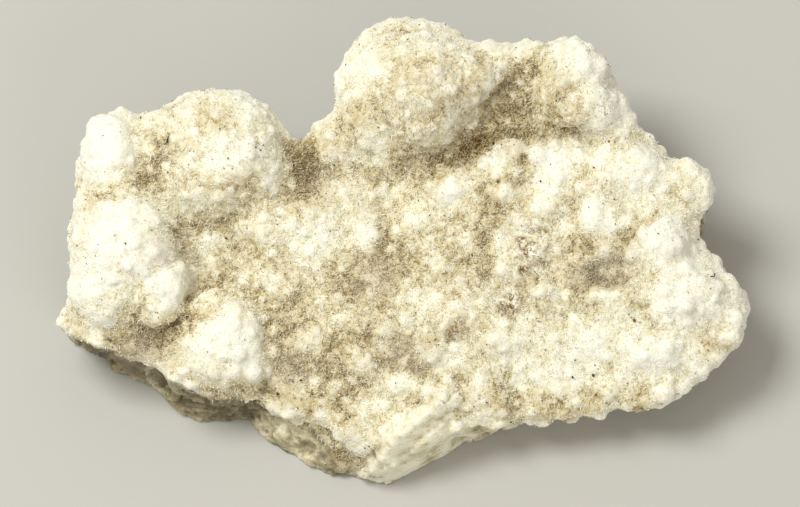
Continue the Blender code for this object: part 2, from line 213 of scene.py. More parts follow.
def mesh_of(name, points, triangles, smooth):
    """A new object from points in millimetres and triangles of their numbers."""
    mesh = bpy.data.meshes.new(name)
    mesh.vertices.add(len(points))
    mesh.vertices.foreach_set("co", (np.asarray(points) * MM).astype(np.float32).ravel())
    mesh.loops.add(triangles.size)
    mesh.loops.foreach_set("vertex_index", triangles.astype(np.int32).ravel())
    mesh.polygons.add(len(triangles))
    mesh.polygons.foreach_set("loop_start", np.arange(0, triangles.size, 3, dtype=np.int32))
    mesh.polygons.foreach_set("use_smooth", np.full(len(triangles), smooth))
    mesh.update(calc_edges=True)
    obj = bpy.data.objects.new(name, mesh)
    bpy.context.scene.collection.objects.link(obj)
    return obj


def give_map(obj, places):
    """Gives the object a map named OFBake, from a place (0 to 1) for every corner of every face."""
    layer = obj.data.uv_layers.new(name="OFBake")
    layer.data.foreach_set("uv", np.clip(places, 0, 1).astype(np.float32).ravel())


def read_mesh(obj):
    """The object's points in millimetres, its triangles, and the normals of its points."""
    mesh = obj.data
    points = np.empty(len(mesh.vertices) * 3, np.float32)
    mesh.vertices.foreach_get("co", points)
    mesh.calc_loop_triangles()
    triangles = np.empty(len(mesh.loop_triangles) * 3, np.int32)
    mesh.loop_triangles.foreach_get("vertices", triangles)
    normals = np.empty(len(mesh.vertices) * 3, np.float32)
    mesh.vertex_normals.foreach_get("vector", normals)
    return points.reshape(-1, 3) / MM, triangles.reshape(-1, 3), normals.reshape(-1, 3)


SMOOTHING = 0.5


def settle(obj):
    """Makes the object's modifiers part of its mesh."""
    graph = bpy.context.evaluated_depsgraph_get()
    made = bpy.data.meshes.new_from_object(obj.evaluated_get(graph))
    obj.modifiers.clear()
    obj.data = made
    return obj


def fused(obj, voxel, rounds=0):
    """The object as one skin of voxels of that size in millimetres, smoothed that many rounds."""
    skin = obj.modifiers.new("skin", "REMESH")
    skin.mode = "VOXEL"
    skin.voxel_size = voxel * MM
    skin.use_smooth_shade = True
    if rounds:
        melt = obj.modifiers.new("melt", "SMOOTH")
        melt.iterations = rounds
        melt.factor = SMOOTHING
    return settle(obj)


print("helpers are ready")

# %% [markdown]
# ## The floor
#
# A sheet of pale card, matt and a little darker than the stone, so that the white rim of the crust
# stands out from it.


# %% Lay the floor
FLOOR_HALF = 1500.0
CARD_GREY = "#BDBDBA"
card = new_material("matt_card")
card_shade = add(card, "BsdfPrincipled", {"Base Color": linear(CARD_GREY), "Roughness": 0.9})
finish_material(card, card_shade)
corners = np.array([(-1, -1, 0), (1, -1, 0), (1, 1, 0), (-1, 1, 0)]) * FLOOR_HALF
floor = mesh_of("floor", corners, np.array([(0, 1, 2), (0, 2, 3)]), smooth=False)
floor.data.materials.append(card)
print("floor, m:", 2 * FLOOR_HALF * MM)

# %% [markdown]
# ## Which part is crust
#
# The crust covers the upper side and rolls a little over the edge. Below it is the break. The solid
# was made by the same rule: a point is crust when it lies above the bed's edge and doesn't face down.
# In three places the crust has come off with the rock: along the lower left edge, in a smooth hollow
# at the lower left, and on the block at the lowest corner.


# %% Soft steps and random clouds
def fade(values, start, end):
    """0 at start and before, 1 at end and after, with a soft step between."""
    t = np.clip((np.asarray(values, float) - start) / (end - start), 0, 1)
    return t * t * (3 - 2 * t)


def cloud(points, size, seed=0, octaves=3):
    """Smooth random values, about -1 to 1, whose soft patches are that many millimetres across."""
    shift = Vector((seed * 7.3, seed * 3.1, seed * 5.7))  # each seed reads the noise somewhere else
    return np.array([
        noise.fractal(Vector(p) + shift, 0.9, 2.0, octaves, noise_basis="PERLIN_ORIGINAL")
        for p in np.asarray(points, float) / size
    ])


print("a step from 0 to 1:", fade([0, 0.25, 0.5, 0.75, 1], 0, 1))

# %% Share of crust at a point
# where the crust's lower left edge runs on the bed
BREAK_EDGE = [
    (-50.0, -8.0), (-44.7, -9.8), (-39.5, -11.9), (-33.0, -14.8), (-30.4, -15.8), (-26.5, -18.5),
    (-21.4, -18.5), (-18.5, -20.0), (-16.0, -30.0),
]
# u, v, half length, half width, and turn in degrees
BARE_PLACES = [
    (-14.2, -24.0, 5.2, 2.3, -28.0),
    (0.6, -24.6, 7.4, 3.6, 38.0),
    (8.0, -23.6, 4.5, 1.3, 14.0),
]
CRUST_FOOT = (-4.0, -2.4)  # the crust fades in between these heights over the bed
OVERHANG = (-0.65, -0.35)  # and between these facings, from -1 (into the bed) to 1 (out of it)
EDGE_WAVER = 0.5
BARE_WAVER = 0.15


def crust_share(points, normals):
    """1 on the crust and 0 on the break."""
    u, v, w = to_bed(points).T
    facing = normals @ OUT_OF_BED
    share = fade(w, *CRUST_FOOT) * fade(facing, *OVERHANG)
    edge = np.interp(u, *zip(*BREAK_EDGE))
    share *= fade(v - edge + EDGE_WAVER * cloud(points, 2.5, seed=12), -0.3, 0.3)
    for place_u, place_v, length, width, turn in BARE_PLACES:
        turn = math.radians(turn)
        across_u = (u - place_u) * math.cos(turn) + (v - place_v) * math.sin(turn)
        across_v = (v - place_v) * math.cos(turn) - (u - place_u) * math.sin(turn)
        reach = np.hypot(across_u / length, across_v / width)
        reach = reach + BARE_WAVER * cloud(points, 2.0, seed=13)
        share = share * fade(reach, 0.85, 1.1)
    return share


points, triangles, normals = read_mesh(SOLID)
print("crust share of the solid's points:", round(float(crust_share(points, normals).mean()), 2))

# %% [markdown]
# ## Grow the beads
#
# Under a lens each lump is made of beads one to three millimetres across, like caviar. They could be
# a bump in the material, but bumps don't change an outline or cast a shadow. So the solid is copied,
# its facets are melted, balls are sown over its crust, and all of it is fused to one skin. Sowing is
# dart throwing: a ball is kept when it is far enough from those already kept. The nodules that stand
# out in the photograph, and the scallops of the right edge, are placed one by one.

# %% Sow points on a surface
SEED = 11
rng = np.random.default_rng(SEED)


def landing_spots(points, triangles, normals, weights, count):
    """Random spots on a mesh: their places, normals, triangles and shares of the three corners."""
    a, b, c = (points[triangles[:, k]] for k in range(3))
    area = np.linalg.norm(np.cross(b - a, c - a), axis=1) / 2
    chance = area * weights[triangles].mean(1)
    chosen = np.searchsorted(np.cumsum(chance) / chance.sum(), rng.random(count))
    chosen = np.minimum(chosen, len(triangles) - 1)
    share = np.sqrt(rng.random(count))
    split = rng.random(count)
    mix = np.stack([1 - share, share * (1 - split), share * split], 1)
    corners = triangles[chosen]
    places = (points[corners] * mix[..., None]).sum(1)
    outward = (normals[corners] * mix[..., None]).sum(1)
    outward /= np.linalg.norm(outward, axis=1)[:, None] + 1e-9
    return places, outward, corners, mix


def kept_apart(places, gaps):
    """Numbers of the places that keep their own gap from those kept before them."""
    cell = float(gaps.max())
    grid = {}
    kept = []
    for i, place in enumerate(places):
        home = tuple((place // cell).astype(int))
        near = [
            j
            for x in (-1, 0, 1) for y in (-1, 0, 1) for z in (-1, 0, 1)
            for j in grid.get((home[0] + x, home[1] + y, home[2] + z), ())
        ]
        if near:
            reach = np.linalg.norm(places[near] - place, axis=1)
            if (reach < (gaps[near] + gaps[i]) / 2).any():
                continue
        grid.setdefault(home, []).append(i)
        kept.append(i)
    return np.array(kept)


def ball(detail):
    """Corners and triangles of a ball of radius 1, made of triangles of one size."""
    mesh = bpy.data.meshes.new("ball")
    draft = bmesh.new()
    bmesh.ops.create_icosphere(draft, subdivisions=detail, radius=1.0)
    draft.to_mesh(mesh)
    draft.free()
    corners = np.array([v.co for v in mesh.vertices])
    faces = np.array([p.vertices[:] for p in mesh.polygons])
    bpy.data.meshes.remove(mesh)
    return corners, faces


def many(corners, faces, frames, places):
    """Copies of one small shape, each turned and scaled by its own frame, as joined arrays."""
    points = np.einsum("nij,kj->nki", frames, corners) + places[:, None, :]
    shifted = faces[None] + (np.arange(len(places)) * len(corners))[:, None, None]
    return points.reshape(-1, 3), shifted.reshape(-1, 3)


def joined(shapes):
    """Points and triangles of several shapes as those of one."""
    firsts = np.cumsum([0] + [len(points) for points, _ in shapes])
    faces = [faces + first for (_, faces), first in zip(shapes, firsts)]
    return np.concatenate([points for points, _ in shapes]), np.concatenate(faces)


def surface_tree(points, triangles):
    """A search tree of a mesh, for rays."""
    return BVHTree.FromPolygons(
        [Vector(p) for p in points.tolist()], triangles.tolist(), all_triangles=True
    )


ABOVE_ALL = 60.0


def on_surface(tree, u, v):
    """The point of a surface under a place of the bed, and its normal, in millimetres."""
    start = Vector(to_world((u, v, ABOVE_ALL)))
    place, normal, _, _ = tree.ray_cast(start, -Vector(OUT_OF_BED))
    return place, normal


print("sowing tools are ready")

# %% Melt the facets
FIRST_VOXEL = 0.42
WELD_GAP = 0.01
MELT_ROUNDS = 12
MELT_STEPS = 10
LEAST_MELTED = 0.25  # low on the crust, so that its edge keeps its place

ground = bpy.data.objects.new("ground", SOLID.data.copy())
bpy.context.scene.collection.objects.link(ground)
weld = ground.modifiers.new("weld", "WELD")
weld.merge_threshold = WELD_GAP * MM
settle(ground)
fused(ground, FIRST_VOXEL)
points, triangles, normals = read_mesh(ground)
share = crust_share(points, normals)
height = to_bed(points)[:, 2]
soft = share * (LEAST_MELTED + (1 - LEAST_MELTED) * fade(height, -0.5, 1.5))
soft = np.clip(soft, 0, 1)
melting = ground.vertex_groups.new(name="melting")
for level in range(MELT_STEPS + 1):
    of_level = np.flatnonzero(np.round(soft * MELT_STEPS) == level)
    melting.add(of_level.tolist(), level / MELT_STEPS, "REPLACE")
melt = ground.modifiers.new("melt", "SMOOTH")
melt.iterations = MELT_ROUNDS
melt.factor = SMOOTHING
melt.vertex_group = melting.name
settle(ground)
points, triangles, normals = read_mesh(ground)
shapes = [(points, triangles)]
print("melted ground:", len(triangles), "triangles")

# %% Sow the beads
# tries, least radius, spread of the radii, gap between middles in radii, detail of the ball, least
# and most of the radius that stands out, and seed of the cloud that makes them coarse here, fine there
BEAD_SIZES = [
    (20000, 0.8, 0.9, 1.9, 2, 0.22, 0.54, 1),
    (70000, 0.36, 0.28, 2.0, 1, 0.20, 0.50, 0),
]

for tries, radius, spread, gap, detail, low, high, seed in BEAD_SIZES:
    places, outward, corners, mix = landing_spots(points, triangles, normals, share, tries)
    coarse = np.clip(0.5 + 0.6 * cloud(places, 9.0, seed=seed), 0, 1)
    radii = radius + spread * coarse * rng.random(tries)
    kept = kept_apart(places, radii * gap)
    places, outward, radii = places[kept], outward[kept], radii[kept]
    rise = rng.uniform(low, high, len(kept))
    centres = places - outward * (radii * (1 - rise))[:, None]
    shapes.append(many(*ball(detail), np.eye(3)[None] * radii[:, None, None], centres))
    print("beads of", radius, "mm and more:", len(kept))

# %% Place the nodules and scallops
# u, v, and half sizes along u, v and w
NODULES = [
    (17.6, -4.7, 0.5, 0.8, 0.6), (19.4, -5.4, 0.5, 0.9, 0.6), (20.8, -5.3, 0.5, 0.9, 0.6),
    (1.4, 4.4, 1.2, 1.2, 0.9), (6.2, 8.4, 1.6, 1.1, 1.0), (13.0, 8.2, 0.8, 1.2, 0.8),
    (20.6, 3.9, 0.9, 1.4, 0.8), (19.0, 8.2, 1.2, 0.9, 0.8), (17.1, 6.5, 0.7, 1.0, 0.6),
    (24.2, 5.4, 1.7, 2.3, 1.2), (0.0, -16.4, 1.7, 1.3, 1.1), (3.3, -17.6, 1.4, 1.1, 1.0),
    (9.7, -16.4, 0.9, 1.3, 0.9), (21.6, -13.3, 1.3, 1.1, 0.9), (8.0, 1.9, 1.2, 1.6, 0.8),
    (12.3, 1.7, 1.1, 1.8, 0.8), (14.9, 22.3, 0.5, 0.5, 0.5), (15.7, 21.6, 0.4, 0.5, 0.4),
    (13.9, 20.9, 0.4, 0.4, 0.4), (-21.0, -3.0, 0.5, 0.6, 0.5), (-14.9, -20.6, 0.9, 0.8, 0.7),
    (-11.0, -20.8, 0.8, 0.7, 0.6), (-25.4, 2.1, 1.0, 0.7, 0.7), (-5.4, 3.1, 1.1, 0.9, 0.8),
    (26.2, -5.2, 1.9, 0.6, 0.7), (28.6, 4.2, 0.9, 0.9, 0.7), (32.6, -17.4, 0.8, 0.6, 0.5),
    (22.0, -8.6, 0.8, 0.7, 0.6), (34.2, -1.8, 1.0, 0.8, 0.7), (-9.0, -17.0, 1.2, 1.0, 0.8),
]
SCALLOPS = [
    (42.9, -8.3), (42.3, -10.6), (40.4, -12.9), (38.4, -15.1), (36.1, -16.9), (33.8, -18.1),
    (31.4, -19.0), (28.9, -19.4),
]
SCALLOP_HALF_SIZES = (1.5, 1.5, 1.3)
SUNK = 0.45  # share of the half height by which a nodule's middle lies under the ground

under = surface_tree(points, triangles)
edge_nodules = [(*place, *SCALLOP_HALF_SIZES) for place in SCALLOPS]
for place_u, place_v, half_u, half_v, half_w in NODULES + edge_nodules:
    place, normal = on_surface(under, place_u, place_v)
    frame_of_one = BED_TURN * np.array([half_u, half_v, half_w])
    centre = place - normal * SUNK * half_w
    shapes.append(many(*ball(2), frame_of_one[None], np.array([centre])))
print("nodules placed by hand:", len(NODULES) + len(SCALLOPS))

# %% Fuse them to one skin
SKIN_VOXEL = 0.26
skin = mesh_of("crust", *joined(shapes), smooth=True)
bpy.data.objects.remove(ground)
fused(skin, SKIN_VOXEL, 1)
points, triangles, normals = read_mesh(skin)
print("fused skin:", len(triangles), "triangles")

# %% [markdown]
# ## Grain of the break, and the grain of the crust
#
# The rock breaks along its own weak places. It splits into thin layers that lie along the bed, it
# flakes off in flat chips that all tilt differently, it cracks along thin winding lines, and a few
# sharp ridges are left between its larger faces. The block and the smooth hollow broke cleanly, so
# they are calm. One of the ridges is broad and lies on the crust: it fills a valley of the upper lobe.
# The beads of the crust get a fine grain and seams, which keep them from looking like glass marbles.
# Everything is added up as one height for each point, which then moves along its normal.

# %% Ridges on the bed
# places along the ridge, its height, and its width to the left and to the right
RIDGES = [
    ([(-4.2, -27.4), (-0.8, -23.0), (2.5, -20.3), (4.8, -18.9)], 1.1, 1.3, 3.2),
    ([(1.2, -27.4), (3.4, -24.2), (6.8, -22.4)], 0.6, 1.8, 1.2),
    ([(-2.6, -27.2), (0.8, -25.2), (4.0, -22.4), (6.0, -20.6)], 0.30, 0.4, 1.0),
    ([(-0.6, -28.2), (3.0, -26.2), (7.4, -23.4), (12.0, -22.0)], 0.35, 0.4, 0.9),
    ([(-3.4, -25.6), (-1.6, -26.4), (-0.4, -27.8)], 0.40, 0.9, 0.5),
    ([(10.2, 23.2), (11.8, 20.4), (12.6, 17.6)], 0.80, 2.6, 3.6),
    ([(-18.0, -24.4), (-15.6, -26.2), (-12.4, -27.4)], 0.4, 0.8, 0.8),
    ([(3.2, -25.6), (8.0, -24.1), (14.0, -22.7), (19.5, -21.7)], 0.4, 0.5, 0.5),
    ([(-41.0, -12.8), (-35.0, -16.0), (-30.0, -18.6), (-24.0, -20.4)], 0.5, 0.8, 0.8),
]


def ridge(u, v, line, height, left, right):
    """Height of a sharp ridge along a line on the bed, with its own width on either side."""
    best = np.full(len(u), np.inf)
    side = np.zeros(len(u))
    for (a_u, a_v), (b_u, b_v) in zip(line, line[1:]):
        length = math.hypot(b_u - a_u, b_v - a_v)
        t = np.clip(((u - a_u) * (b_u - a_u) + (v - a_v) * (b_v - a_v)) / length ** 2, 0, 1)
        away = np.hypot(u - a_u - t * (b_u - a_u), v - a_v - t * (b_v - a_v))
        turned = (b_u - a_u) * (v - a_v) - (b_v - a_v) * (u - a_u)
        closer = away < best
        best = np.where(closer, away, best)
        side = np.where(closer, turned, side)
    return height * np.clip(1 - best / np.where(side > 0, left, right), 0, 1)


def patches(rows, u, v):
    """Summed strength of soft round patches at places of the bed."""
    total = np.zeros(len(u))
    for place_u, place_v, radius, strength in rows:
        total += strength * np.exp(-((u - place_u) ** 2 + (v - place_v) ** 2) / radius ** 2)
    return total


def seams(points, size, width, seed):
    """1 along thin winding lines about that many millimetres apart, and 0 between them."""
    return np.clip(1 - np.abs(cloud(points, size, seed=seed, octaves=2)) / width, 0, 1)


def chipped(points, spacing, steepness):
    """How far a break stands out at each point: every cell of the stone breaks along its own plane."""
    rise = []
    for point in np.asarray(points, float) / spacing:
        middle = noise.voronoi(Vector(point))[1][0]
        tilt = noise.cell_vector(middle * 3.7) - Vector((0.5, 0.5, 0.5))
        rise.append((Vector(point) - middle).dot(tilt))
    return np.array(rise) * 2 * steepness * spacing


print("ridges:", len(RIDGES))

# %% Grain and seams of the crust
CRUST_GRAIN = (0.9, 0.05)  # size and height
SEAMS = [(2.4, 0.14, 16), (1.1, 0.16, 17)]  # distance apart, width and seed
SEAM_DEPTH = 0.10
share = crust_share(points, normals)
rough = cloud(points, CRUST_GRAIN[0], seed=3, octaves=3) * CRUST_GRAIN[1]
for size, width, seed in SEAMS:
    rough -= SEAM_DEPTH * seams(points, size, width, seed)
rough *= share
print("crust's own grain, mm:", np.percentile(rough, [5, 95]).round(2))

# %% Chips, layers and cracks of the break
LAYER = 0.75
LAYER_STEP = 0.26
LAYER_WAVER = 0.5
CHIPS = [(3.4, 0.16), (1.3, 0.30)]  # size and steepness
GRIT = (0.8, 0.12)  # size and height
CRACKS = (3.6, 0.05, 18)  # as for the seams
CRACK_DEPTH = 0.15
CALM_PLACES = [(1.5, -25.5, 8.0, 0.9), (-14.6, -23.8, 4.2, 0.9)]  # as u, v, radius and strength
CALMEST = 0.8
layer_height = points @ OUT_OF_BED + LAYER_WAVER * cloud(points, 6.0, seed=6)
layers = np.abs(np.mod(layer_height / LAYER, 1.0) - 0.5)
bare_points = np.flatnonzero(share < 0.98)
chips = sum(chipped(points[bare_points], *size) for size in CHIPS)
grit = cloud(points[bare_points], GRIT[0], seed=2, octaves=3) * GRIT[1]
grit = grit + layers[bare_points] * LAYER_STEP - LAYER_STEP / 2
cracks = seams(points[bare_points], *CRACKS)
bed_u, bed_v, bed_w = to_bed(points).T
calm = np.minimum(patches(CALM_PLACES, bed_u, bed_v), CALMEST)
broken_away = ((1 - share) * (1 - calm))[bare_points]
rough[bare_points] += (chips + grit - CRACK_DEPTH * cracks) * broken_away
print("points on the break:", len(bare_points))

# %% Add the ridges and move the skin
FLOOR_GAP = 0.05  # no point is moved below this height, so the foot stays flat
upward = fade(bed_w, -4.0, -2.0) * fade(normals @ OUT_OF_BED, -0.1, 0.3)
rough += upward * sum(ridge(bed_u, bed_v, *one) for one in RIDGES)
points = points + normals * rough[:, None]
points[:, 2] = np.maximum(points[:, 2], FLOOR_GAP)
skin.data.vertices.foreach_set("co", (points * MM).astype(np.float32).ravel())
print("relief, mm:", rough.min().round(2), "to", rough.max().round(2))

# %% [markdown]
# The skin has more triangles than it needs. The decimate modifier takes out the least useful ones.
# Where a vertex group's weight is higher it takes out more. The small beads of the crust need their
# triangles most, so the break has the higher weight.

# %% Thin the skin
TRIANGLES = 186000
THIN_WEIGHTS = (0.7, 0.5)  # on the break and on the crust
THIN_LEAN = 0.2  # how much the weights count
bare = skin.vertex_groups.new(name="bare")
for level, weight in enumerate(THIN_WEIGHTS):
    of_level = np.flatnonzero((share > 0.5) == level)
    bare.add(of_level.tolist(), weight, "REPLACE")
thin = skin.modifiers.new("thin", "DECIMATE")
thin.ratio = min(1.0, TRIANGLES / len(triangles))
thin.vertex_group = bare.name
thin.vertex_group_factor = THIN_LEAN
settle(skin)
skin.name = "crust"
points, triangles, normals = read_mesh(skin)
share = crust_share(points, normals)
print("finished skin:", len(triangles), "triangles")

# %% [markdown]
# ## Where the tan film and the painted shade lie
#
# Dust, clay and iron collect in hollows and leave the tops of the lumps white. The hollows are also
# painted darker as painted shade, where less light gets in. A hollow is a point that lies below the
# average of its surroundings. The average is found by letting each point drift to the middle of its
# neighbours again and again. The distance that it drifted outward is the depth.


# %% Depth of each point in its surroundings
DRIFT = 0.8  # share of the way to the middle in one round
NEAR_ROUNDS, FAR_ROUNDS = 12, 90


def drifted(points, triangles, rounds):
    """The points after drifting that many rounds to the middle of their neighbours."""
    ends = np.concatenate([triangles[:, [0, 1]], triangles[:, [1, 2]], triangles[:, [2, 0]]])
    start = np.concatenate([ends[:, 0], ends[:, 1]])
    stop = np.concatenate([ends[:, 1], ends[:, 0]])
    count = np.bincount(start, minlength=len(points))
    moved = points.astype(float).copy()
    for _ in range(rounds):
        middle = np.stack(
            [np.bincount(start, moved[stop, k], len(points)) / count for k in range(3)], 1
        )
        moved = moved + DRIFT * (middle - moved)
    return moved


near = drifted(points, triangles, NEAR_ROUNDS)
far = drifted(near, triangles, FAR_ROUNDS)
fine_depth = ((near - points) * normals).sum(1)
wide_depth = ((far - points) * normals).sum(1)
print("depth of hollows, mm:", np.percentile(wide_depth, [5, 50, 95]).round(2))

# %% [markdown]
# ## Stains that the photograph shows in one place, and painted light and shade
#
# Some colour has no rule, only a place: the brown under the upper lobe, the rusty freckles in the
# middle, the white tops. Each is a soft round patch on the bed, as u, v, radius and strength. The tan
# and white patches are partly stain and partly painted shade and painted light: tan darkens slopes
# that face away from the light, white lightens lit tops and shaded slopes and rims.

# %% Patches of tan, partly painted shade
# tan stain, and painted shade on slopes that face away from the key light
TAN_AND_SHADE_PATCHES = [
    (-33.0, 9.0, 3.0, 0.2), (-29.0, 2.0, 2.6, 0.15), (-31.5, -10.5, 3.0, 0.36), (-12.5, 9.5, 3.6, 0.5),
    (-5.0, -2.0, 4.0, 0.25), (3.0, 12.5, 4.0, 0.15), (9.5, 14.5, 2.5, 0.4), (13.5, 18.5, 3.4, 0.36),
    (19.5, 15.8, 3.5, 0.25), (8.2, 13.0, 1.8, 0.3), (10.5, 2.0, 2.5, 0.15), (24.0, -3.4, 1.6, 0.8),
    (28.5, -3.6, 2.0, 0.25), (0.5, -13.0, 3.5, 0.35), (13.5, -20.0, 2.0, 0.3), (-25.0, 6.5, 4.0, 0.15),
    (-18.0, -6.0, 5.0, 0.1), (-14.5, -12.5, 3.5, 0.25), (-37.0, -9.5, 3.0, 0.1), (-28.5, -9.0, 2.2, 0.3),
    (-27.0, -7.0, 2.0, 0.3), (-12.5, -18.8, 3.2, 0.5), (-16.5, -18.2, 1.8, 0.3), (-8.0, -12.0, 2.6, 0.5),
    (-7.0, -7.0, 2.2, 0.1), (-1.0, -0.5, 2.4, 0.22), (5.0, -1.2, 2.0, 0.3), (-4.0, -8.0, 3.0, 0.2),
    (-11.6, 14.2, 2.6, 0.4), (-6.0, 17.0, 2.8, 0.4), (4.0, 10.0, 2.0, 0.4), (12.0, 7.0, 2.5, 0.34),
    (17.8, 23.4, 3.4, 0.5), (0.0, 24.0, 5.0, 0.32), (-29.0, 14.0, 3.2, 0.32), (-24.5, 17.0, 2.8, 0.35),
    (-39.0, 7.4, 2.6, 0.28), (28.0, 1.0, 2.0, 0.48), (3.0, -19.0, 2.0, 0.2), (24.5, -18.5, 2.0, 0.4),
    (31.0, -19.5, 2.2, 0.3), (2.0, 18.4, 5.0, 0.12), (-21.0, 0.5, 1.6, 0.2), (-13.5, -6.0, 2.0, 0.2),
    (7.8, 19.8, 3.0, 0.2), (22.0, -18.0, 6.0, 0.1), (-14.0, 6.0, 2.6, 0.2), (21.5, 18.2, 2.2, 0.1),
    (17.8, -5.0, 1.4, 0.2), (10.0, -2.5, 2.0, 0.1), (32.0, 5.2, 1.6, 0.3), (38.6, -11.0, 1.8, 0.25),
    (10.0, 23.5, 1.6, 0.2), (12.0, -18.0, 2.0, 0.2), (6.0, -10.0, 2.0, 0.2), (-36.4, 8.6, 1.8, 0.2),
    (23.0, 9.6, 1.6, 0.25), (36.4, 8.0, 1.6, 0.25), (-3.0, 9.0, 2.4, 0.2), (22.8, 0.2, 1.8, 0.45),
    (24.0, -5.6, 2.0, 0.1), (17.4, -4.0, 1.5, 0.2), (13.2, 9.4, 1.6, 0.25), (-40.4, -6.4, 1.6, 0.15),
    (4.0, -17.0, 1.4, 0.36), (29.0, -6.0, 1.8, 0.2), (12.4, 14.4, 1.8, 0.2), (4.4, 16.8, 3.0, 0.2),
    (-2.0, 12.2, 1.6, 0.25), (-19.5, 9.0, 2.4, 0.25), (30.4, -20.2, 1.8, 0.45), (15.4, 12.2, 1.8, 0.3),
    (13.0, -3.6, 2.6, 0.2), (29.0, 3.0, 2.0, 0.25), (29.4, 11.0, 1.6, 0.25), (20.6, -21.2, 1.8, 0.35),
    (32.0, -18.8, 1.8, 0.2), (12.2, -16.6, 1.4, 0.25), (-13.6, -9.4, 2.0, 0.25), (-8.0, -4.0, 2.4, 0.2),
    (23.0, 18.4, 2.4, 0.3), (-24.0, -20.4, 3.0, 0.4), (-8.4, -17.0, 1.4, 0.2), (-18.0, 15.6, 1.8, 0.15),
    (31.0, -9.6, 2.0, 0.2), (42.0, -10.6, 1.8, 0.2), (-15.4, -24.6, 2.4, 0.3), (0.0, -1.0, 2.0, 0.25),
    (-4.0, -9.4, 2.0, 0.32), (22.0, -10.0, 2.0, 0.2), (-35.8, -12.2, 3.2, 0.5), (-43.0, -10.0, 2.0, 0.3),
    (-20.0, -18.0, 1.6, 0.45), (-26.0, -18.8, 2.4, 0.35), (26.6, 14.0, 2.0, 0.2),
    (-13.8, 12.0, 1.6, 0.35), (8.5, 2.6, 2.4, 0.2), (-22.0, -2.4, 1.6, 0.2), (-34.0, -7.0, 1.6, 0.3),
    (31.0, 3.6, 1.6, 0.2), (9.0, -17.2, 1.8, 0.2), (-9.2, -27.6, 1.7, 0.65), (-6.6, -20.6, 1.6, 0.35),
    (-29.0, 4.0, 1.6, 0.2), (-26.0, 10.0, 1.6, 0.2), (18.0, -20.8, 2.4, 0.25), (10.0, 22.4, 1.2, 0.4),
    (-6.0, 18.2, 1.6, 0.2), (27.2, -4.6, 1.4, 0.22), (-2.4, -15.8, 1.6, 0.22), (-10.2, -16.4, 1.5, 0.22),
    (7.0, 1.8, 1.8, 0.18), (11.4, 3.8, 1.5, 0.18), (-6.4, 11.0, 1.5, 0.18), (-7.8, -22.4, 1.6, 0.28),
    (-26.2, -5.4, 1.4, 0.15),
]
print("tan patches:", len(TAN_AND_SHADE_PATCHES))
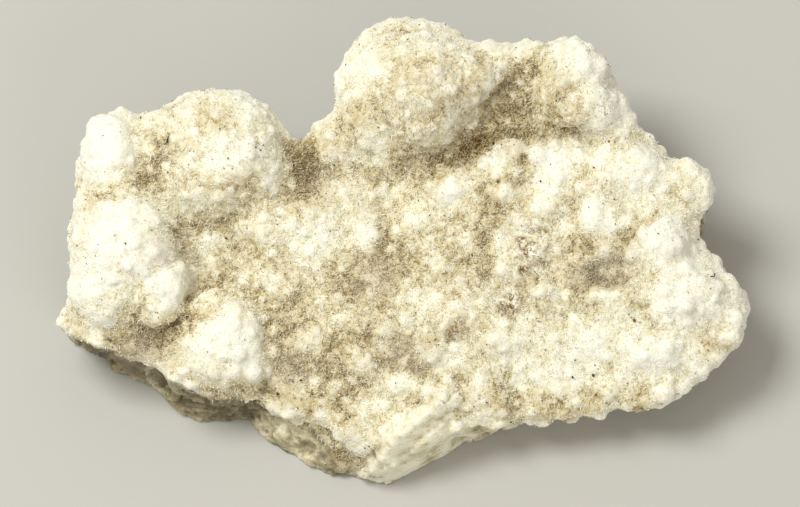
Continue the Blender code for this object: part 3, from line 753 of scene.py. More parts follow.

# %% Patches of white, partly painted light
# clean white, and painted light: lit tops burnt out to white, shaded slopes and rims lightened
WHITE_AND_LIGHT_PATCHES = [
    (-38.2, 13.2, 3.6, 0.45), (-24.5, 12.8, 2.8, 0.45), (-20.2, 12.8, 2.0, 0.35), (-36.8, 2.4, 3.6, 0.5),
    (-39.2, -3.4, 3.2, 0.45), (-31.0, -4.0, 2.6, 0.45), (-23.8, -10.6, 3.2, 0.45),
    (-20.5, -13.5, 2.2, 0.35), (-12.0, 2.8, 2.6, 0.3), (22.0, 25.5, 3.0, 0.25), (19.0, 11.8, 3.4, 0.45),
    (32.5, 1.8, 2.6, 0.55), (35.6, -5.2, 3.6, 0.4), (33.0, -12.0, 3.2, 0.3), (19.0, -16.6, 2.4, 0.2),
    (8.0, 16.8, 3.0, 0.35), (12.0, 23.0, 1.6, 0.2), (24.6, 15.0, 3.4, 0.45), (27.2, 22.4, 2.6, 0.5),
    (-16.4, 12.4, 2.6, 0.32), (-33.6, 13.0, 1.8, 0.3), (-28.0, -4.2, 2.4, 0.3), (-28.6, 5.5, 2.4, 0.3),
    (-18.0, -10.0, 2.8, 0.15), (-7.0, 13.4, 2.0, 0.3), (31.0, 9.4, 3.6, 0.35), (37.2, 0.8, 2.2, 0.5),
    (26.6, -1.4, 1.6, 0.2), (16.0, 3.2, 1.6, 0.25), (5.0, 6.0, 1.6, 0.2), (5.0, -14.2, 2.2, 0.4),
    (14.6, -16.4, 1.8, 0.35), (22.0, -12.8, 3.4, 0.35), (-3.6, -19.2, 2.2, 0.25), (31.0, -15.0, 2.8, 0.3),
    (43.0, -7.6, 2.6, 0.3), (38.0, -8.0, 2.8, 0.3), (23.0, -9.5, 2.4, 0.2), (1.0, 21.8, 3.0, 0.15),
    (3.6, 14.4, 1.8, 0.3), (-39.6, -9.8, 2.2, 0.3), (-17.6, -15.0, 1.8, 0.25), (15.0, -11.4, 2.0, 0.2),
    (28.2, 18.0, 2.0, 0.3), (-4.6, 24.0, 3.2, 0.25), (-9.0, 3.0, 2.0, 0.15), (35.0, 4.6, 1.6, 0.2),
    (38.0, -14.6, 2.0, 0.2), (4.0, 28.2, 2.2, 0.25), (16.0, 26.4, 2.4, 0.2), (-21.0, 19.6, 2.0, 0.25),
    (-16.6, 8.4, 1.9, 0.35), (12.0, -5.0, 1.8, 0.35), (19.6, -2.0, 1.4, 0.3), (1.6, 18.6, 1.8, 0.25),
    (-5.4, -8.2, 1.6, 0.3), (-3.2, -20.6, 1.6, 0.2), (15.4, -17.0, 1.5, 0.25), (23.2, -17.0, 1.6, 0.25),
    (-27.0, -3.4, 1.8, 0.12), (-26.0, 0.2, 1.4, 0.25), (-27.4, 6.2, 1.6, 0.25), (-32.2, 7.4, 1.4, 0.25),
    (31.0, -4.4, 1.6, 0.25), (35.0, -14.4, 1.8, 0.25), (29.0, -17.2, 1.6, 0.2), (-13.2, -16.0, 1.5, 0.2),
    (16.0, -10.0, 2.0, 0.2), (-2.0, -12.0, 1.6, 0.2), (28.4, 7.2, 1.8, 0.2), (7.8, 17.4, 1.6, 0.2),
    (-2.4, 7.0, 2.0, 0.35), (-7.0, 1.2, 1.6, 0.2), (-20.0, -1.8, 1.6, 0.2), (27.4, -2.4, 1.6, 0.3),
    (7.0, -24.0, 1.6, 0.3), (17.5, -2.0, 1.2, 0.2), (15.4, 8.2, 1.4, 0.2), (41.0, -2.4, 2.0, 0.2),
    (7.4, -14.0, 1.6, 0.2), (31.0, 6.4, 1.8, 0.2), (9.0, 27.0, 2.0, 0.2), (-6.0, 23.0, 2.0, 0.2),
    (-2.0, 16.0, 1.6, 0.22), (-9.0, -9.0, 1.6, 0.2), (-30.0, -0.4, 1.6, 0.2), (-10.0, 8.6, 2.0, 0.3),
    (-5.0, 12.0, 2.0, 0.35), (11.6, 21.0, 1.8, 0.22), (26.4, 23.2, 1.8, 0.3), (25.8, 3.2, 1.5, 0.5),
    (28.0, -9.2, 2.2, 0.35), (25.0, -14.6, 2.6, 0.35), (-31.2, 1.0, 1.8, 0.2), (1.5, -6.6, 2.2, 0.3),
    (-1.2, -11.0, 2.0, 0.2), (36.0, 5.6, 1.8, 0.25), (-12.6, -16.6, 1.5, 0.35), (11.6, 11.8, 1.8, 0.35),
    (14.6, 1.0, 1.6, 0.25), (17.4, 22.0, 1.5, 0.25), (-28.4, 16.6, 1.6, 0.3), (-37.8, 9.6, 2.0, 0.35),
    (6.4, 6.0, 1.6, 0.25), (-15.6, 10.0, 1.6, 0.3), (13.2, -14.6, 1.6, 0.22), (5.0, 22.0, 1.8, 0.18),
    (-10.0, 20.0, 2.0, 0.25),
]
print("white patches:", len(WHITE_AND_LIGHT_PATCHES))

# %% Patches of grey, partly painted shade, and of rust
# grey stain, and painted shade in the cavity by the right edge and in hollows and grooves
GREY_AND_SHADE_PATCHES = [
    (26.4, -2.0, 3.0, 0.45), (23.2, -3.0, 1.6, 0.3), (-29.6, 0.0, 2.4, 0.5), (-27.8, -3.0, 1.6, 0.3),
    (10.6, 21.6, 1.6, 0.25), (-2.0, 13.0, 3.0, 0.1), (-4.0, -3.0, 3.0, 0.35), (-15.0, -15.0, 3.0, 0.35),
    (0.5, -13.0, 3.0, 0.4), (9.8, -3.5, 2.0, 0.15), (-10.0, 9.5, 2.6, 0.3), (21.0, 6.2, 1.6, 0.2),
    (-35.0, -13.0, 3.4, 0.45),
]
RUST_PATCHES = [
    (15.3, -1.9, 0.8, 1.2), (15.8, 0.4, 0.8, 1.2), (17.5, -0.6, 0.6, 0.9), (15.1, 1.9, 0.7, 1.0),
    (17.9, 2.8, 0.6, 0.9), (16.4, 3.4, 0.6, 0.9), (18.6, 0.8, 0.5, 0.8), (13.0, -6.7, 0.8, 1.0),
    (14.0, -5.4, 0.7, 1.0), (14.2, -7.3, 0.6, 0.9), (15.8, 0.4, 2.4, 0.35), (13.4, -6.4, 1.8, 0.35),
    (6.9, -8.8, 0.9, 0.7), (6.2, -9.7, 0.9, 0.7), (5.8, -11.0, 0.8, 0.6), (24.0, 1.0, 1.0, 0.5),
    (10.6, 14.4, 1.3, 1.1), (9.0, 13.9, 1.3, 1.2), (7.6, 13.6, 1.2, 1.0), (20.5, 16.5, 0.8, 0.6),
    (-8.2, -28.0, 1.4, 0.9), (-22.0, 9.0, 1.6, 0.35), (26.0, 18.6, 0.8, 0.8), (-3.4, 10.6, 0.7, 0.6),
    (8.5, 19.5, 6.5, 0.3), (21.5, 17.0, 3.2, 0.32), (-18.6, 13.0, 3.5, 0.22), (-25.0, 2.5, 3.5, 0.12),
    (38.0, -6.0, 5.0, 0.12), (1.0, 15.0, 4.0, 0.12),
]
print("grey and rust patches:", len(GREY_AND_SHADE_PATCHES) + len(RUST_PATCHES))

# %% [markdown]
# ## Mix the stain and the painted light and shade of the crust
#
# The tan of a point starts from its depth in its surroundings, partly stain and partly painted shade,
# and the patches add to it. Then comes mottling in three sizes, so that no patch shows as a disc, with
# the small gaps between the beads painted darker as painted shade, and a darker line along each seam.
# The nodules stay cleaner, and the steep rim is painted lighter as painted light. One more value says
# how grey or how rusty the stain is; the grey is partly painted shade.

# %% Tan of each point
MEAN_TAN = 0.425
HOLLOW_TAN_AND_SHADE = 0.24
WIDE_HOLLOW, FINE_HOLLOW = 1.2, 0.2  # depths that count as full hollows
WANDER = 1.3  # how far the rims of the patches wander
# size, strength, seed, octaves, and stretch along x, y and z
MOTTLING = [
    (5.0, 0.11, 4, 3, (1.0, 1.0, 1.0)),
    (2.2, 0.18, 8, 2, (1.0, 0.6, 0.6)),
    (0.75, 0.22, 15, 1, (1.0, 1.0, 1.0)),
]
DARKER, LIGHTER = 0.6, 0.8  # shares of the mottling that darkens and that lightens
# how much lighter the steep rim is painted, as painted light
RIM_PAINTED_LIGHT = 0.3
NODULES_CLEANER = 0.6

u, v, w = to_bed(points).T
around_u = u + WANDER * cloud(points, 4.0, seed=9)
around_v = v + WANDER * cloud(points, 4.0, seed=10)
# painted shade in part: the deeper the hollow, the more tan, as for dust and as painted shade
tan = MEAN_TAN + HOLLOW_TAN_AND_SHADE * np.clip(wide_depth / WIDE_HOLLOW, -1.2, 1.2)
# the tan patches add stain and painted shade; the white patches add clean white and painted light
tan += patches(TAN_AND_SHADE_PATCHES, around_u, around_v) - patches(WHITE_AND_LIGHT_PATCHES, around_u, around_v)
# painted shade: the small gaps between the beads are darker and the tops of the beads lighter
detail = 0.16 * np.clip(fine_depth / FINE_HOLLOW, -1, 1)
for size, strength, seed, octaves, stretch in MOTTLING:
    detail += strength * cloud(points * stretch, size, seed=seed, octaves=octaves)
tan += np.where(detail > 0, DARKER, LIGHTER) * detail
for size, width, seed in SEAMS:
    tan += (0.05 + 0.16 * np.clip(tan, 0, 1)) * (seams(points, size, width, seed) - 0.25)
# painted light: the steep sides near the rim are painted lighter, as a bright rim
tan -= RIM_PAINTED_LIGHT * fade(normals @ OUT_OF_BED, 0.55, 0.15) * fade(w, -4.0, 0.0)
clean = np.zeros(len(u))
for place_u, place_v, half_u, half_v, half_w in NODULES:
    reach = ((u - place_u) / half_u) ** 2 + ((v - place_v) / half_v) ** 2
    clean = np.maximum(clean, np.exp(-reach ** 2 / 2))
tan = np.clip(tan * (1 - NODULES_CLEANER * clean), 0, 1)
print("mean tan:", round(float(tan.mean()), 2))

# %% Grey and rust of each point
# the grey is partly grey stain and partly painted shade
grey = np.clip(patches(GREY_AND_SHADE_PATCHES, around_u, around_v) * (0.5 + tan) * (1 - clean), 0, 1)
rust = np.clip(patches(RUST_PATCHES, u, v), 0, 1)
hue = 0.5 + 0.5 * rust - 0.5 * grey * (1 - rust)  # 0 grey, a half neither, 1 rust
print("rusty points:", int((rust > 0.5).sum()))

# %% [markdown]
# ## Soil, painted shadow and painted light on the break
#
# The break has its own stain, olive brown soil that fills its cracks, and it is darker in its small
# hollows. Some of its places and lines are listed: on the block, in the smooth hollow and along the
# bare band. The lines along the lower sides of the ridges of the block are partly painted shadow, and
# the clean places on the block are painted light against its shade. A negative strength is a clean
# place.

# %% Soil of each point
MEAN_SOIL = 0.6
SOIL_SPREAD = 0.24
SOIL_IN_CRACKS = 0.35
# soil, and painted light: the clean places on the block lighten its shade
SOIL_AND_LIGHT_PATCHES = [
    (0.5, -24.5, 7.0, -0.5), (-9.5, -27.0, 3.0, 0.38), (-15.8, -24.2, 1.8, 0.45),
    (-24.0, -20.6, 6.0, 0.2), (-36.0, -15.5, 8.0, 0.2), (2.8, -25.6, 1.8, 0.25), (6.5, -23.6, 3.0, -0.3),
    (-1.6, -28.8, 3.0, -0.45), (-15.6, -21.8, 2.8, -0.5), (-12.6, -25.8, 2.0, -0.35),
    (-36.0, -12.6, 3.0, 0.4), (16.0, -22.4, 6.0, -0.15), (-41.5, -13.2, 2.2, 0.45),
    (-33.0, -15.6, 1.8, -0.4), (-23.4, -20.8, 1.8, 0.3), (-28.2, -20.2, 1.6, 0.25),
]
# painted shadow, and soil, below the ridges of the block; columns as for the ridges
SHADOW_AND_SOIL_LINES = [
    ([(-4.9, -25.5), (-2.8, -24.8), (-1.1, -23.5), (1.5, -23.1), (2.8, -24.0)], 0.36, 0.4, 1.0),
    ([(-4.1, -25.7), (-2.8, -27.8), (-3.2, -29.1)], 0.30, 0.4, 0.4),
    ([(1.9, -27.4), (6.7, -25.3), (10.6, -23.6), (17.5, -22.0)], 0.20, 0.7, 0.7),
]
# soil, with painted shadow below the ridges and painted light on the block
soil_light_and_shade = MEAN_SOIL + SOIL_SPREAD * cloud(points, 3.5, seed=5)
soil_light_and_shade += SOIL_SPREAD * np.clip(fine_depth / FINE_HOLLOW, -1, 1)
soil_light_and_shade += patches(SOIL_AND_LIGHT_PATCHES, u, v)
soil_light_and_shade += sum(ridge(u, v, *line) for line in SHADOW_AND_SOIL_LINES)
soil_light_and_shade += SOIL_IN_CRACKS * seams(points, *CRACKS)
growth = np.stack([tan, 1 - share, hue, np.clip(soil_light_and_shade, 0, 1)], 1)
print("mean soil on the break:", round(float(growth[share < 0.5, 3].mean()), 2))

# %% [markdown]
# The four values of a point are stored as one colour: red is tan with its painted shade, green is bare,
# blue is hue, whose grey is partly painted shade, and alpha is soil with its painted shadow and light.
# The skin gets a map too, by place: its upper side fills the lower half and its underside the upper
# half, both seen along the bed's own axis.

# %% Store the values on the skin
HALF_MAP, UPPER_HALF = 0.49, 0.505
MAP_SPAN, MAP_MARGIN = 0.98, 0.01
mesh = skin.data
corner_points = np.empty(len(mesh.loops), np.int32)
mesh.loops.foreach_get("vertex_index", corner_points)
face_normals = np.empty(len(mesh.polygons) * 3, np.float32)
mesh.polygons.foreach_get("normal", face_normals)
face_sizes = np.empty(len(mesh.polygons), np.int32)
mesh.polygons.foreach_get("loop_total", face_sizes)
below = np.repeat(face_normals.reshape(-1, 3) @ OUT_OF_BED < 0, face_sizes)
on_bed = np.stack([u, v], 1)
low, high = on_bed.min(0), on_bed.max(0)
on_map = ((on_bed - low) / (high - low))[corner_points]
on_map[:, 1] = on_map[:, 1] * HALF_MAP + UPPER_HALF * below
give_map(skin, on_map * MAP_SPAN + MAP_MARGIN)
stored = skin.data.color_attributes.new("growth", "FLOAT_COLOR", "POINT")
stored.data.foreach_set("color", growth.astype(np.float32).ravel())
print("stored on", len(points), "points")

# %% [markdown]
# ## Material of the ground mass
#
# Hydromagnesite is a white carbonate. As a fine crust it is chalky: matt, warm white where clean and
# tan where stained and where shade is painted in its hollows. The break under it is duller and a little
# greenish grey. Its grain is drawn at a third of a millimetre, somewhat coarser than real, so that it
# shows.

# %% Chalky crust
def toward_grey_and_rust(material, hue):
    """Shares of grey and of rust from one value: 0 grey, a half neither, 1 rust."""
    grey = add(material, "MapRange", {"Value": hue, "From Min": 0.5, "From Max": 0.0})
    rust = add(material, "MapRange", {"Value": hue, "From Min": 0.5, "From Max": 1.0})
    return grey.outputs[0], rust.outputs[0]


GRAIN = 0.35
STRATA = 2.6
STRATA_RELIEF = 8.0  # how much deeper the layers are than the grain
FRECKLE = 0.9
RELIEF = 0.08
IOR = 1.53
LIGHT_PATHS = (1.0, 0.9, 0.7)  # red light gets farther in the stone than blue
CREAM_TO_TAN = [
    (0.0, "#FAF9EC"), (0.3, "#EEE9D1"), (0.6, "#D6C9A1"), (0.85, "#B4A175"), (1.0, "#87734D"),
]
CREAM_TO_OLIVE = [(0.0, "#FAF7E2"), (0.3, "#DCD3B3"), (0.65, "#A0977A"), (1.0, "#6B6149")]
# the grey of the chalk is partly painted shade
GREY_CHALK, RUSTY_CHALK = "#BFB49F", "#7E6128"

chalk = new_material("chalky_hydromagnesite")
values = add(chalk, "Attribute", attribute_name="growth")
parts = add(chalk, "SeparateColor", {"Color": values.outputs["Color"]})
place = add(chalk, "TexCoord")
grain = add(chalk, "TexNoise", {
    "Vector": place.outputs["Object"], "Scale": 1 / (GRAIN * MM), "Detail": 3.0, "Roughness": 0.6,
})
grain_value = add(chalk, "MapRange", {
    "Value": grain.outputs["Fac"], "From Min": 0.3, "From Max": 0.7, "To Min": -0.12, "To Max": 0.12,
})
# tan, with its painted shade, plus grain
stain_and_shade = add(chalk, "Math", {0: parts.outputs["Red"], 1: grain_value.outputs[0]}, operation="ADD")
crust_colour = set_stops(add(chalk, "ValToRGB", {"Fac": stain_and_shade.outputs[0]}), CREAM_TO_TAN)
along_bed = add(chalk, "Mapping", {
    "Vector": place.outputs["Object"], "Rotation": (-BED_SLOPE, 0, 0), "Scale": (1, 1, 3.5),
})
strata = add(chalk, "TexNoise", {
    "Vector": along_bed.outputs[0], "Scale": 1 / (STRATA * MM), "Detail": 6.0, "Roughness": 0.7,
})
strata_value = add(chalk, "MapRange", {
    "Value": strata.outputs["Fac"], "From Min": 0.3, "From Max": 0.7, "To Min": -0.20, "To Max": 0.20,
})
# soil with its painted shadow and painted light, plus strata and grain
soil_light_shade_strata = add(chalk, "Math", {
    0: values.outputs["Alpha"], 1: strata_value.outputs[0]}, operation="ADD")
soil_light_shade_grain = add(chalk, "Math", {
    0: soil_light_shade_strata.outputs[0], 1: grain_value.outputs[0]}, operation="ADD")
break_colour = set_stops(add(chalk, "ValToRGB", {"Fac": soil_light_shade_grain.outputs[0]}), CREAM_TO_OLIVE)
broken = add(chalk, "Mix", {
    0: parts.outputs["Green"], 6: crust_colour.outputs[0], 7: break_colour.outputs[0],
}, data_type="RGBA")
freckle = add(chalk, "TexNoise", {
    "Vector": place.outputs["Object"], "Scale": 1 / (FRECKLE * MM), "Detail": 2.0,
})
freckled = add(chalk, "MapRange", {
    "Value": freckle.outputs["Fac"], "From Min": 0.5, "From Max": 0.62,
})
greyness, rustiness = toward_grey_and_rust(chalk, parts.outputs["Blue"])
greyed = add(chalk, "Mix", {
    0: greyness, 6: broken.outputs[2], 7: linear(GREY_CHALK),
}, data_type="RGBA")
rusty = add(chalk, "Math", {0: rustiness, 1: freckled.outputs[0]}, operation="MULTIPLY")
coloured = add(chalk, "Mix", {
    0: rusty.outputs[0], 6: greyed.outputs[2], 7: linear(RUSTY_CHALK),
}, data_type="RGBA")
bare_strata = add(chalk, "Math", {
    0: parts.outputs["Green"], 1: strata.outputs["Fac"]}, operation="MULTIPLY")
height = add(chalk, "Math", {
    0: bare_strata.outputs[0], 1: STRATA_RELIEF, 2: grain.outputs["Fac"]}, operation="MULTIPLY_ADD")
relief = add(chalk, "Bump", {"Height": height.outputs[0], "Distance": RELIEF * MM, "Strength": 0.7})
chalk_shade = add(chalk, "BsdfPrincipled", {
    "Base Color": coloured.outputs[2], "Roughness": 0.85, "IOR": IOR, "Normal": relief.outputs[0],
    "Subsurface Weight": 0.3, "Subsurface Radius": LIGHT_PATHS, "Subsurface Scale": 0.5 * MM,
})
finish_material(chalk, chalk_shade)
skin.data.materials.clear()
skin.data.materials.append(chalk)
print("grain:", GRAIN, "mm")

# %% [markdown]
# ## The sugar grains
#
# Seen closer, every bead is covered with grains a fifth to a half of a millimetre across. They are
# what makes the crust look like sugar. A grain is a crystal of eight flat faces, drawn out a little
# along one axis, sunk a little and turned at random. It is smaller on the clean tops and by the edge,
# where the stone looks smooth. Instances on faces would be the usual way, but joined meshes travel
# better, so one crystal is copied into arrays.

# %% Sow the grains
EIGHT_FACES = np.array([
    (0, 2, 1), (0, 3, 2), (0, 4, 3), (0, 1, 4), (5, 1, 2), (5, 2, 3), (5, 3, 4), (5, 4, 1),
])
OCTAHEDRON = (
    np.array([(0, 0, -1), (1, 0, 0), (0, 1, 0), (-1, 0, 0), (0, -1, 0), (0, 0, 1)], float),
    EIGHT_FACES,
)
GRAINS = 60000
GRAIN_NAMES = ["grains_left", "grains_middle", "grains_right"]
LEAST_RADIUS, RADIUS_SPREAD = 0.12, 0.11
GRAIN_LEAN = 0.7
GRAIN_SUNK = 0.25  # share of the radius
places, outward, corners, mix = landing_spots(points, triangles, normals, share, GRAINS)


def at_spots(values):
    """Values of the skin's points at the sown spots."""
    return (values[corners] * mix).sum(1)


def tipped_frames(outward, lean, draws):
    """Two sides and a long axis for each spot, the axis leaning off the normal by a random amount."""
    off = draws.normal(size=outward.shape)
    off -= (off * outward).sum(1)[:, None] * outward
    along = outward + off * lean[:, None]
    along /= np.linalg.norm(along, axis=1)[:, None]
    side = np.cross(along, draws.normal(size=outward.shape))
    side /= np.linalg.norm(side, axis=1)[:, None]
    return side, np.cross(along, side), along


grain_tan = at_spots(tan)
grain_hue = at_spots(hue)
facing = outward @ OUT_OF_BED
size = LEAST_RADIUS + RADIUS_SPREAD * rng.random(GRAINS)
size = size * (0.75 + 0.4 * grain_tan) * (0.6 + 0.4 * fade(facing, 0.1, 0.5))
side, other, along = tipped_frames(outward, np.full(GRAINS, GRAIN_LEAN), rng)
frames = np.stack([
    side * size[:, None],
    other * (size * rng.uniform(0.5, 1.0, GRAINS))[:, None],
    along * (size * rng.uniform(0.6, 1.3, GRAINS))[:, None],
], 2)
places = places - outward * (GRAIN_SUNK * size)[:, None]
shade = rng.random(GRAINS)
print("grain radius, mm:", size.min().round(2), "to", size.max().round(2))

# %% [markdown]
# ## Material of the grains and needles
#
# A single crystal of this mineral is clear and colourless with a silky shine. Thousands together look
# white, because light wanders between them and comes out somewhere else. So the material is nearly
# white, a little glossy, and lets light through under its surface for a fraction of a millimetre.

# %% Silky crystals
SILK_COLOURS = [
    (0.0, "#FCFCF1"), (0.25, "#F4F2E1"), (0.5, "#E8E0C4"), (0.7, "#DACEA7"), (0.88, "#BEAD83"),
    (1.0, "#917D58"),
]
# the grey of the crystals is partly painted shade
GREY_SILK, RUSTY_SILK = "#CFC6B2", "#7C5A1A"
SILK_ROUGHNESS = 0.5

silk = new_material("silky_hydromagnesite")
values = add(silk, "Attribute", attribute_name="growth")
parts = add(silk, "SeparateColor", {"Color": values.outputs["Color"]})
silk_colour = set_stops(add(silk, "ValToRGB", {"Fac": parts.outputs["Red"]}), SILK_COLOURS)
greyness, rustiness = toward_grey_and_rust(silk, parts.outputs["Blue"])
greyed = add(silk, "Mix", {
    0: greyness, 6: silk_colour.outputs[0], 7: linear(GREY_SILK),
}, data_type="RGBA")
rusted = add(silk, "Mix", {
    0: rustiness, 6: greyed.outputs[2], 7: linear(RUSTY_SILK),
}, data_type="RGBA")
silk_shade = add(silk, "BsdfPrincipled", {
    "Base Color": rusted.outputs[2], "Roughness": SILK_ROUGHNESS, "IOR": IOR,
    "Subsurface Weight": 0.35, "Subsurface Radius": LIGHT_PATHS, "Subsurface Scale": 0.35 * MM,
})
finish_material(silk, silk_shade)
print("silky crystals: roughness", SILK_ROUGHNESS)

# %% [markdown]
# A game engine wants colours as a picture on a map. These crystals are too many to unwrap, but their
# colour depends on two numbers alone. So each face lies on the map at the place that those two
# numbers give, like a chip in a paint chart.


# %% Join them in patches, from left to right
PALETTE_FACE = 0.006
RUSTED = 0.7  # share of the grains that take the rust where it is strongest
WARMEST = 0.66  # the other crystals get no rustier than this


def joined_patches(names, shape, frames, places, values, smooth):
    """The shape at every spot, as one object for each name, split from left to right."""
    made = []
    order = np.argsort(places[:, 0])
    for name, chosen in zip(names, np.array_split(order, len(names))):
        piece = mesh_of(name, *many(*shape, frames[chosen], places[chosen]), smooth=smooth)
        rows = np.repeat(values[chosen], len(shape[0]), axis=0)
        stored = piece.data.color_attributes.new("growth", "FLOAT_COLOR", "POINT")
        stored.data.foreach_set("color", rows.astype(np.float32).ravel())
        piece.data.materials.append(silk)
        at = np.repeat(rows[:: len(shape[0])][:, [0, 2]], len(shape[1]) * 3, axis=0)
        nudge = np.tile([(0, 0), (PALETTE_FACE, 0), (0, PALETTE_FACE)], (len(at) // 3, 1))
        give_map(piece, at * (1 - PALETTE_FACE) + nudge)
        made.append(piece)
        print(name, len(chosen))
    return made


takes_rust = shade > 1 - RUSTED * (2 * grain_hue - 1) ** 2
grain_values = np.stack([
    np.clip(grain_tan - 0.10 + (shade ** 2 - 0.33) * (0.24 + 0.44 * grain_tan), 0, 1), shade,
    np.where(takes_rust, grain_hue, np.minimum(grain_hue, WARMEST)), np.ones(GRAINS),
], 1)
crystal_pieces = joined_patches(
    GRAIN_NAMES, OCTAHEDRON, frames, places, grain_values, smooth=False
)

# %% [markdown]
# ## The needles
#
# Between the grains stand loose blades, a seventh of a millimetre wide and mostly half a millimetre
# to a millimetre long.
# They show one by one where the crust is tan and in its hollows, and hardly at all on the clean tops.
# Some lie flat and are coloured dark brown as painted shadow: they are the fine dark strokes between
# the grains. A blade is eight triangles: a flat pointed prism whose foot is sunk in the crust.

# %% One blade, sown many times
BLADES = 23000
BLADE_CORNERS = np.array([
    (0.0, 0.0, -0.35), (0.5, 0.0, 0.35), (0.0, 0.5, 0.35), (-0.5, 0.0, 0.35), (0.0, -0.5, 0.35),
    (0.0, 0.0, 1.0),
])
# painted shadow: this share of the blades is coloured dark, as the shade between the grains
SHADOW_BLADES = 0.32
# the dark blades, painted as shadow, are longer by this
LONGER = 1.4  # stained blades are longer by this

needle_weights = share * (0.12 + tan ** 1.5) * fade(normals @ OUT_OF_BED, 0.2, 0.6)
needle_weights *= 0.1 + fade(wide_depth, -0.6, 0.1)
places, outward, corners, mix = landing_spots(points, triangles, normals, needle_weights, BLADES)
needle_tan = at_spots(tan)
shade = rng.random(BLADES)
# the dark blades lie flatter and stand for the shadows between the grains
stain_and_shade = shade > 1 - SHADOW_BLADES
lean = np.where(stain_and_shade, 1.2 + 1.5 * rng.random(BLADES), 0.5 + 0.6 * rng.random(BLADES))
side, other, along = tipped_frames(outward, lean, rng)
length = (0.34 + 0.35 * needle_tan) * rng.uniform(0.7, 1.3, BLADES)
length = length * np.where(stain_and_shade, LONGER, 1.0)
width = rng.uniform(0.11, 0.19, BLADES)
thick = width * rng.uniform(0.5, 0.9, BLADES)
frames = np.stack([side * width[:, None], other * thick[:, None], along * length[:, None]], 2)
needle_hue = at_spots(hue)
needle_values = np.stack([
    np.clip(needle_tan + np.where(stain_and_shade, 0.32, -0.28), 0, 1), shade,
    np.where(stain_and_shade, needle_hue, np.minimum(needle_hue, WARMEST)), np.ones(BLADES),
], 1)
crystal_pieces += joined_patches(
    ["needles"], (BLADE_CORNERS, EIGHT_FACES), frames, places, needle_values, smooth=False
)
print("mean blade length, mm:", round(float(length.mean()), 2))

# %% [markdown]
# ## Dark grains
#
# Here and there a dark brown grain of soil or ore sits on the white, and many more are too small to
# count. The large ones are listed one by one, as u, v and radius on the bed. A ray sent down on the bed
# finds the skin under each place. The small ones are sown.

# %% Place the grains of soil
SPECKS = [
    (-30.6, 10.7, 0.16), (-19.3, 13.9, 0.12), (-18.7, 13.5, 0.14), (-19.0, 14.4, 0.10),
    (-18.3, 14.2, 0.11), (-23.3, 2.1, 0.22), (-36.0, 1.5, 0.16), (-22.8, 12.5, 0.11),
    (-27.2, 13.3, 0.10), (-21.9, -1.9, 0.10), (12.0, 9.4, 0.20), (8.7, 0.0, 0.17),
    (7.8, 3.1, 0.14), (1.4, -7.5, 0.14), (24.4, -15.6, 0.22), (21.6, -15.8, 0.19),
    (24.7, -18.1, 0.16), (22.0, -13.6, 0.11), (17.5, 9.6, 0.14), (27.0, 7.2, 0.13),
    (29.8, -8.4, 0.26), (30.4, -8.7, 0.14), (28.8, -16.6, 0.13), (26.4, 14.6, 0.16),
    (29.4, -0.3, 0.12), (26.1, -19.1, 0.12), (-16.4, -17.9, 0.30), (-14.6, -16.4, 0.18),
    (-13.5, -16.2, 0.18), (-12.0, -18.1, 0.13), (-11.6, -14.2, 0.12), (-5.2, -25.0, 0.12),
    (-3.6, -13.8, 0.12), (-7.2, -21.0, 0.14), (10.5, -19.1, 0.14), (13.7, -21.6, 0.16),
    (-38.2, -11.0, 0.20), (-37.3, -8.7, 0.14), (-32.0, -11.8, 0.14), (-28.0, -6.2, 0.12),
    (-12.2, 9.7, 0.18), (-6.0, 12.6, 0.12), (3.2, 13.2, 0.12), (-3.4, 16.5, 0.11),
    (11.6, 14.4, 0.20), (10.4, 15.2, 0.14), (14.8, 20.2, 0.12), (19.2, 16.6, 0.12),
]
SPECK_RISE = 0.9  # in radii
DUST = 1100
DUST_RADII = (0.04, 0.10)
DUST_RISE = 0.12

finished = surface_tree(points, triangles)
spots, radii = [], []
for place_u, place_v, radius in SPECKS:
    place, normal = on_surface(finished, place_u, place_v)
    spots.append(place + normal * radius * SPECK_RISE)
    radii.append(radius)
dust_spots, outward, corners, mix = landing_spots(
    points, triangles, normals, share * (0.2 + np.clip(tan, 0, 1)), DUST
)
dust_radii = rng.uniform(*DUST_RADII, DUST)
spots = np.concatenate([np.array(spots), dust_spots + outward * DUST_RISE])
radii = np.concatenate([np.array(radii), dust_radii])
frames = np.eye(3)[None] * radii[:, None, None] * rng.uniform(0.7, 1.2, (len(radii), 1, 3))
specks = mesh_of("specks", *many(*ball(1), frames, spots), smooth=False)
print("dark grains:", len(radii))

# %% [markdown]
# Soil is matt and dark brown, and lighter where it holds clay. Its blotches are two millimetres wide,
# so most grains have one colour of their own.

# %% Dark soil
SOIL_BLOTCH = 2.0
soil = new_material("dark_soil_grains")
place = add(soil, "TexCoord")
blotch = add(soil, "TexNoise", {
    "Vector": place.outputs["Object"], "Scale": 1 / (SOIL_BLOTCH * MM),
})
soil_colour = set_stops(
    add(soil, "ValToRGB", {"Fac": blotch.outputs["Fac"]}),
    [(0.35, "#2A2118"), (0.6, "#6B5232")],
)
soil_shade = add(soil, "BsdfPrincipled", {"Base Color": soil_colour.outputs[0], "Roughness": 0.7})
specks.data.materials.append(finish_material(soil, soil_shade))
print("soil blotch:", SOIL_BLOTCH, "mm")

# %% [markdown]
# ## Two fibres
#
# Two black fibres, a millimetre or so long, lie on the crust: one straight on the upper left lobe and
# one bent by the right edge. Each is a thin round thread: a ring of six corners carried along a
# short line of points.

# %% Lay the fibres
FIBRE_RADIUS = 0.08
FIBRE_LIFT = 0.34  # so that they lie on the tips of the grains
FIBRE_LINES = [
    [(-30.8, 14.2), (-30.6, 14.55), (-30.4, 14.9), (-30.25, 15.2)],
    [(39.3, -3.0), (39.55, -2.95), (39.75, -2.75), (39.85, -2.5)],
]


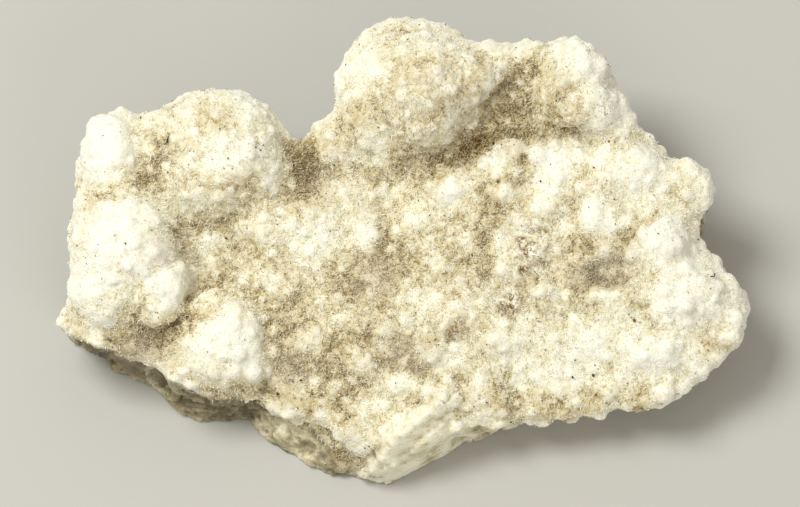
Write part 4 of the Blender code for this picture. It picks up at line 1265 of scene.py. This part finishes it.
def thread(line, radius, sides=6):
    """Corners and triangles of a closed round thread along the points, all in millimetres."""
    line = np.array(line)
    along = np.gradient(line, axis=0)
    along /= np.linalg.norm(along, axis=1)[:, None]
    across = np.cross(along, OUT_OF_BED)
    across /= np.linalg.norm(across, axis=1)[:, None]
    up = np.cross(across, along)
    turn = np.linspace(0, 2 * math.pi, sides, endpoint=False)
    rings = line[:, None] + radius * (
        across[:, None] * np.cos(turn)[:, None] + up[:, None] * np.sin(turn)[:, None]
    )
    faces = []
    for i in range(len(line) - 1):
        for k in range(sides):
            a, b = i * sides + k, i * sides + (k + 1) % sides
            faces += [(a, b, b + sides), (a, b + sides, a + sides)]
    last = (len(line) - 1) * sides
    for k in range(1, sides - 1):
        faces += [(0, k + 1, k), (last, last + k, last + k + 1)]
    return rings.reshape(-1, 3), np.array(faces)


threads = []
for line in FIBRE_LINES:
    lifted = []
    for place_u, place_v in line:
        place, normal = on_surface(finished, place_u, place_v)
        lifted.append(place + normal * FIBRE_LIFT)
    threads.append(thread(lifted, FIBRE_RADIUS))
fibres = mesh_of("fibres", *joined(threads), smooth=True)
print("fibres:", len(threads))

# %% [markdown]
# Textile fibre dyed black is never quite black: where it twists to the light it shows a dark grey.

# %% Black fibre
TWIST = 0.2
lint = new_material("black_textile_fibre")
place = add(lint, "TexCoord")
twist = add(lint, "TexNoise", {"Vector": place.outputs["Object"], "Scale": 1 / (TWIST * MM)})
lint_colour = set_stops(
    add(lint, "ValToRGB", {"Fac": twist.outputs["Fac"]}), [(0.3, "#0E0E0F"), (0.7, "#2B2A2A")],
)
lint_shade = add(lint, "BsdfPrincipled", {"Base Color": lint_colour.outputs[0], "Roughness": 0.6})
fibres.data.materials.append(finish_material(lint, lint_shade))
print("twist:", TWIST, "mm")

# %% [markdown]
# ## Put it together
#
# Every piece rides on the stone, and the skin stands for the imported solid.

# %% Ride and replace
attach(skin, "root")
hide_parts("hydromagnesite")
for piece in crystal_pieces:
    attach(piece, "root")
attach(specks, "root")
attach(fibres, "root")
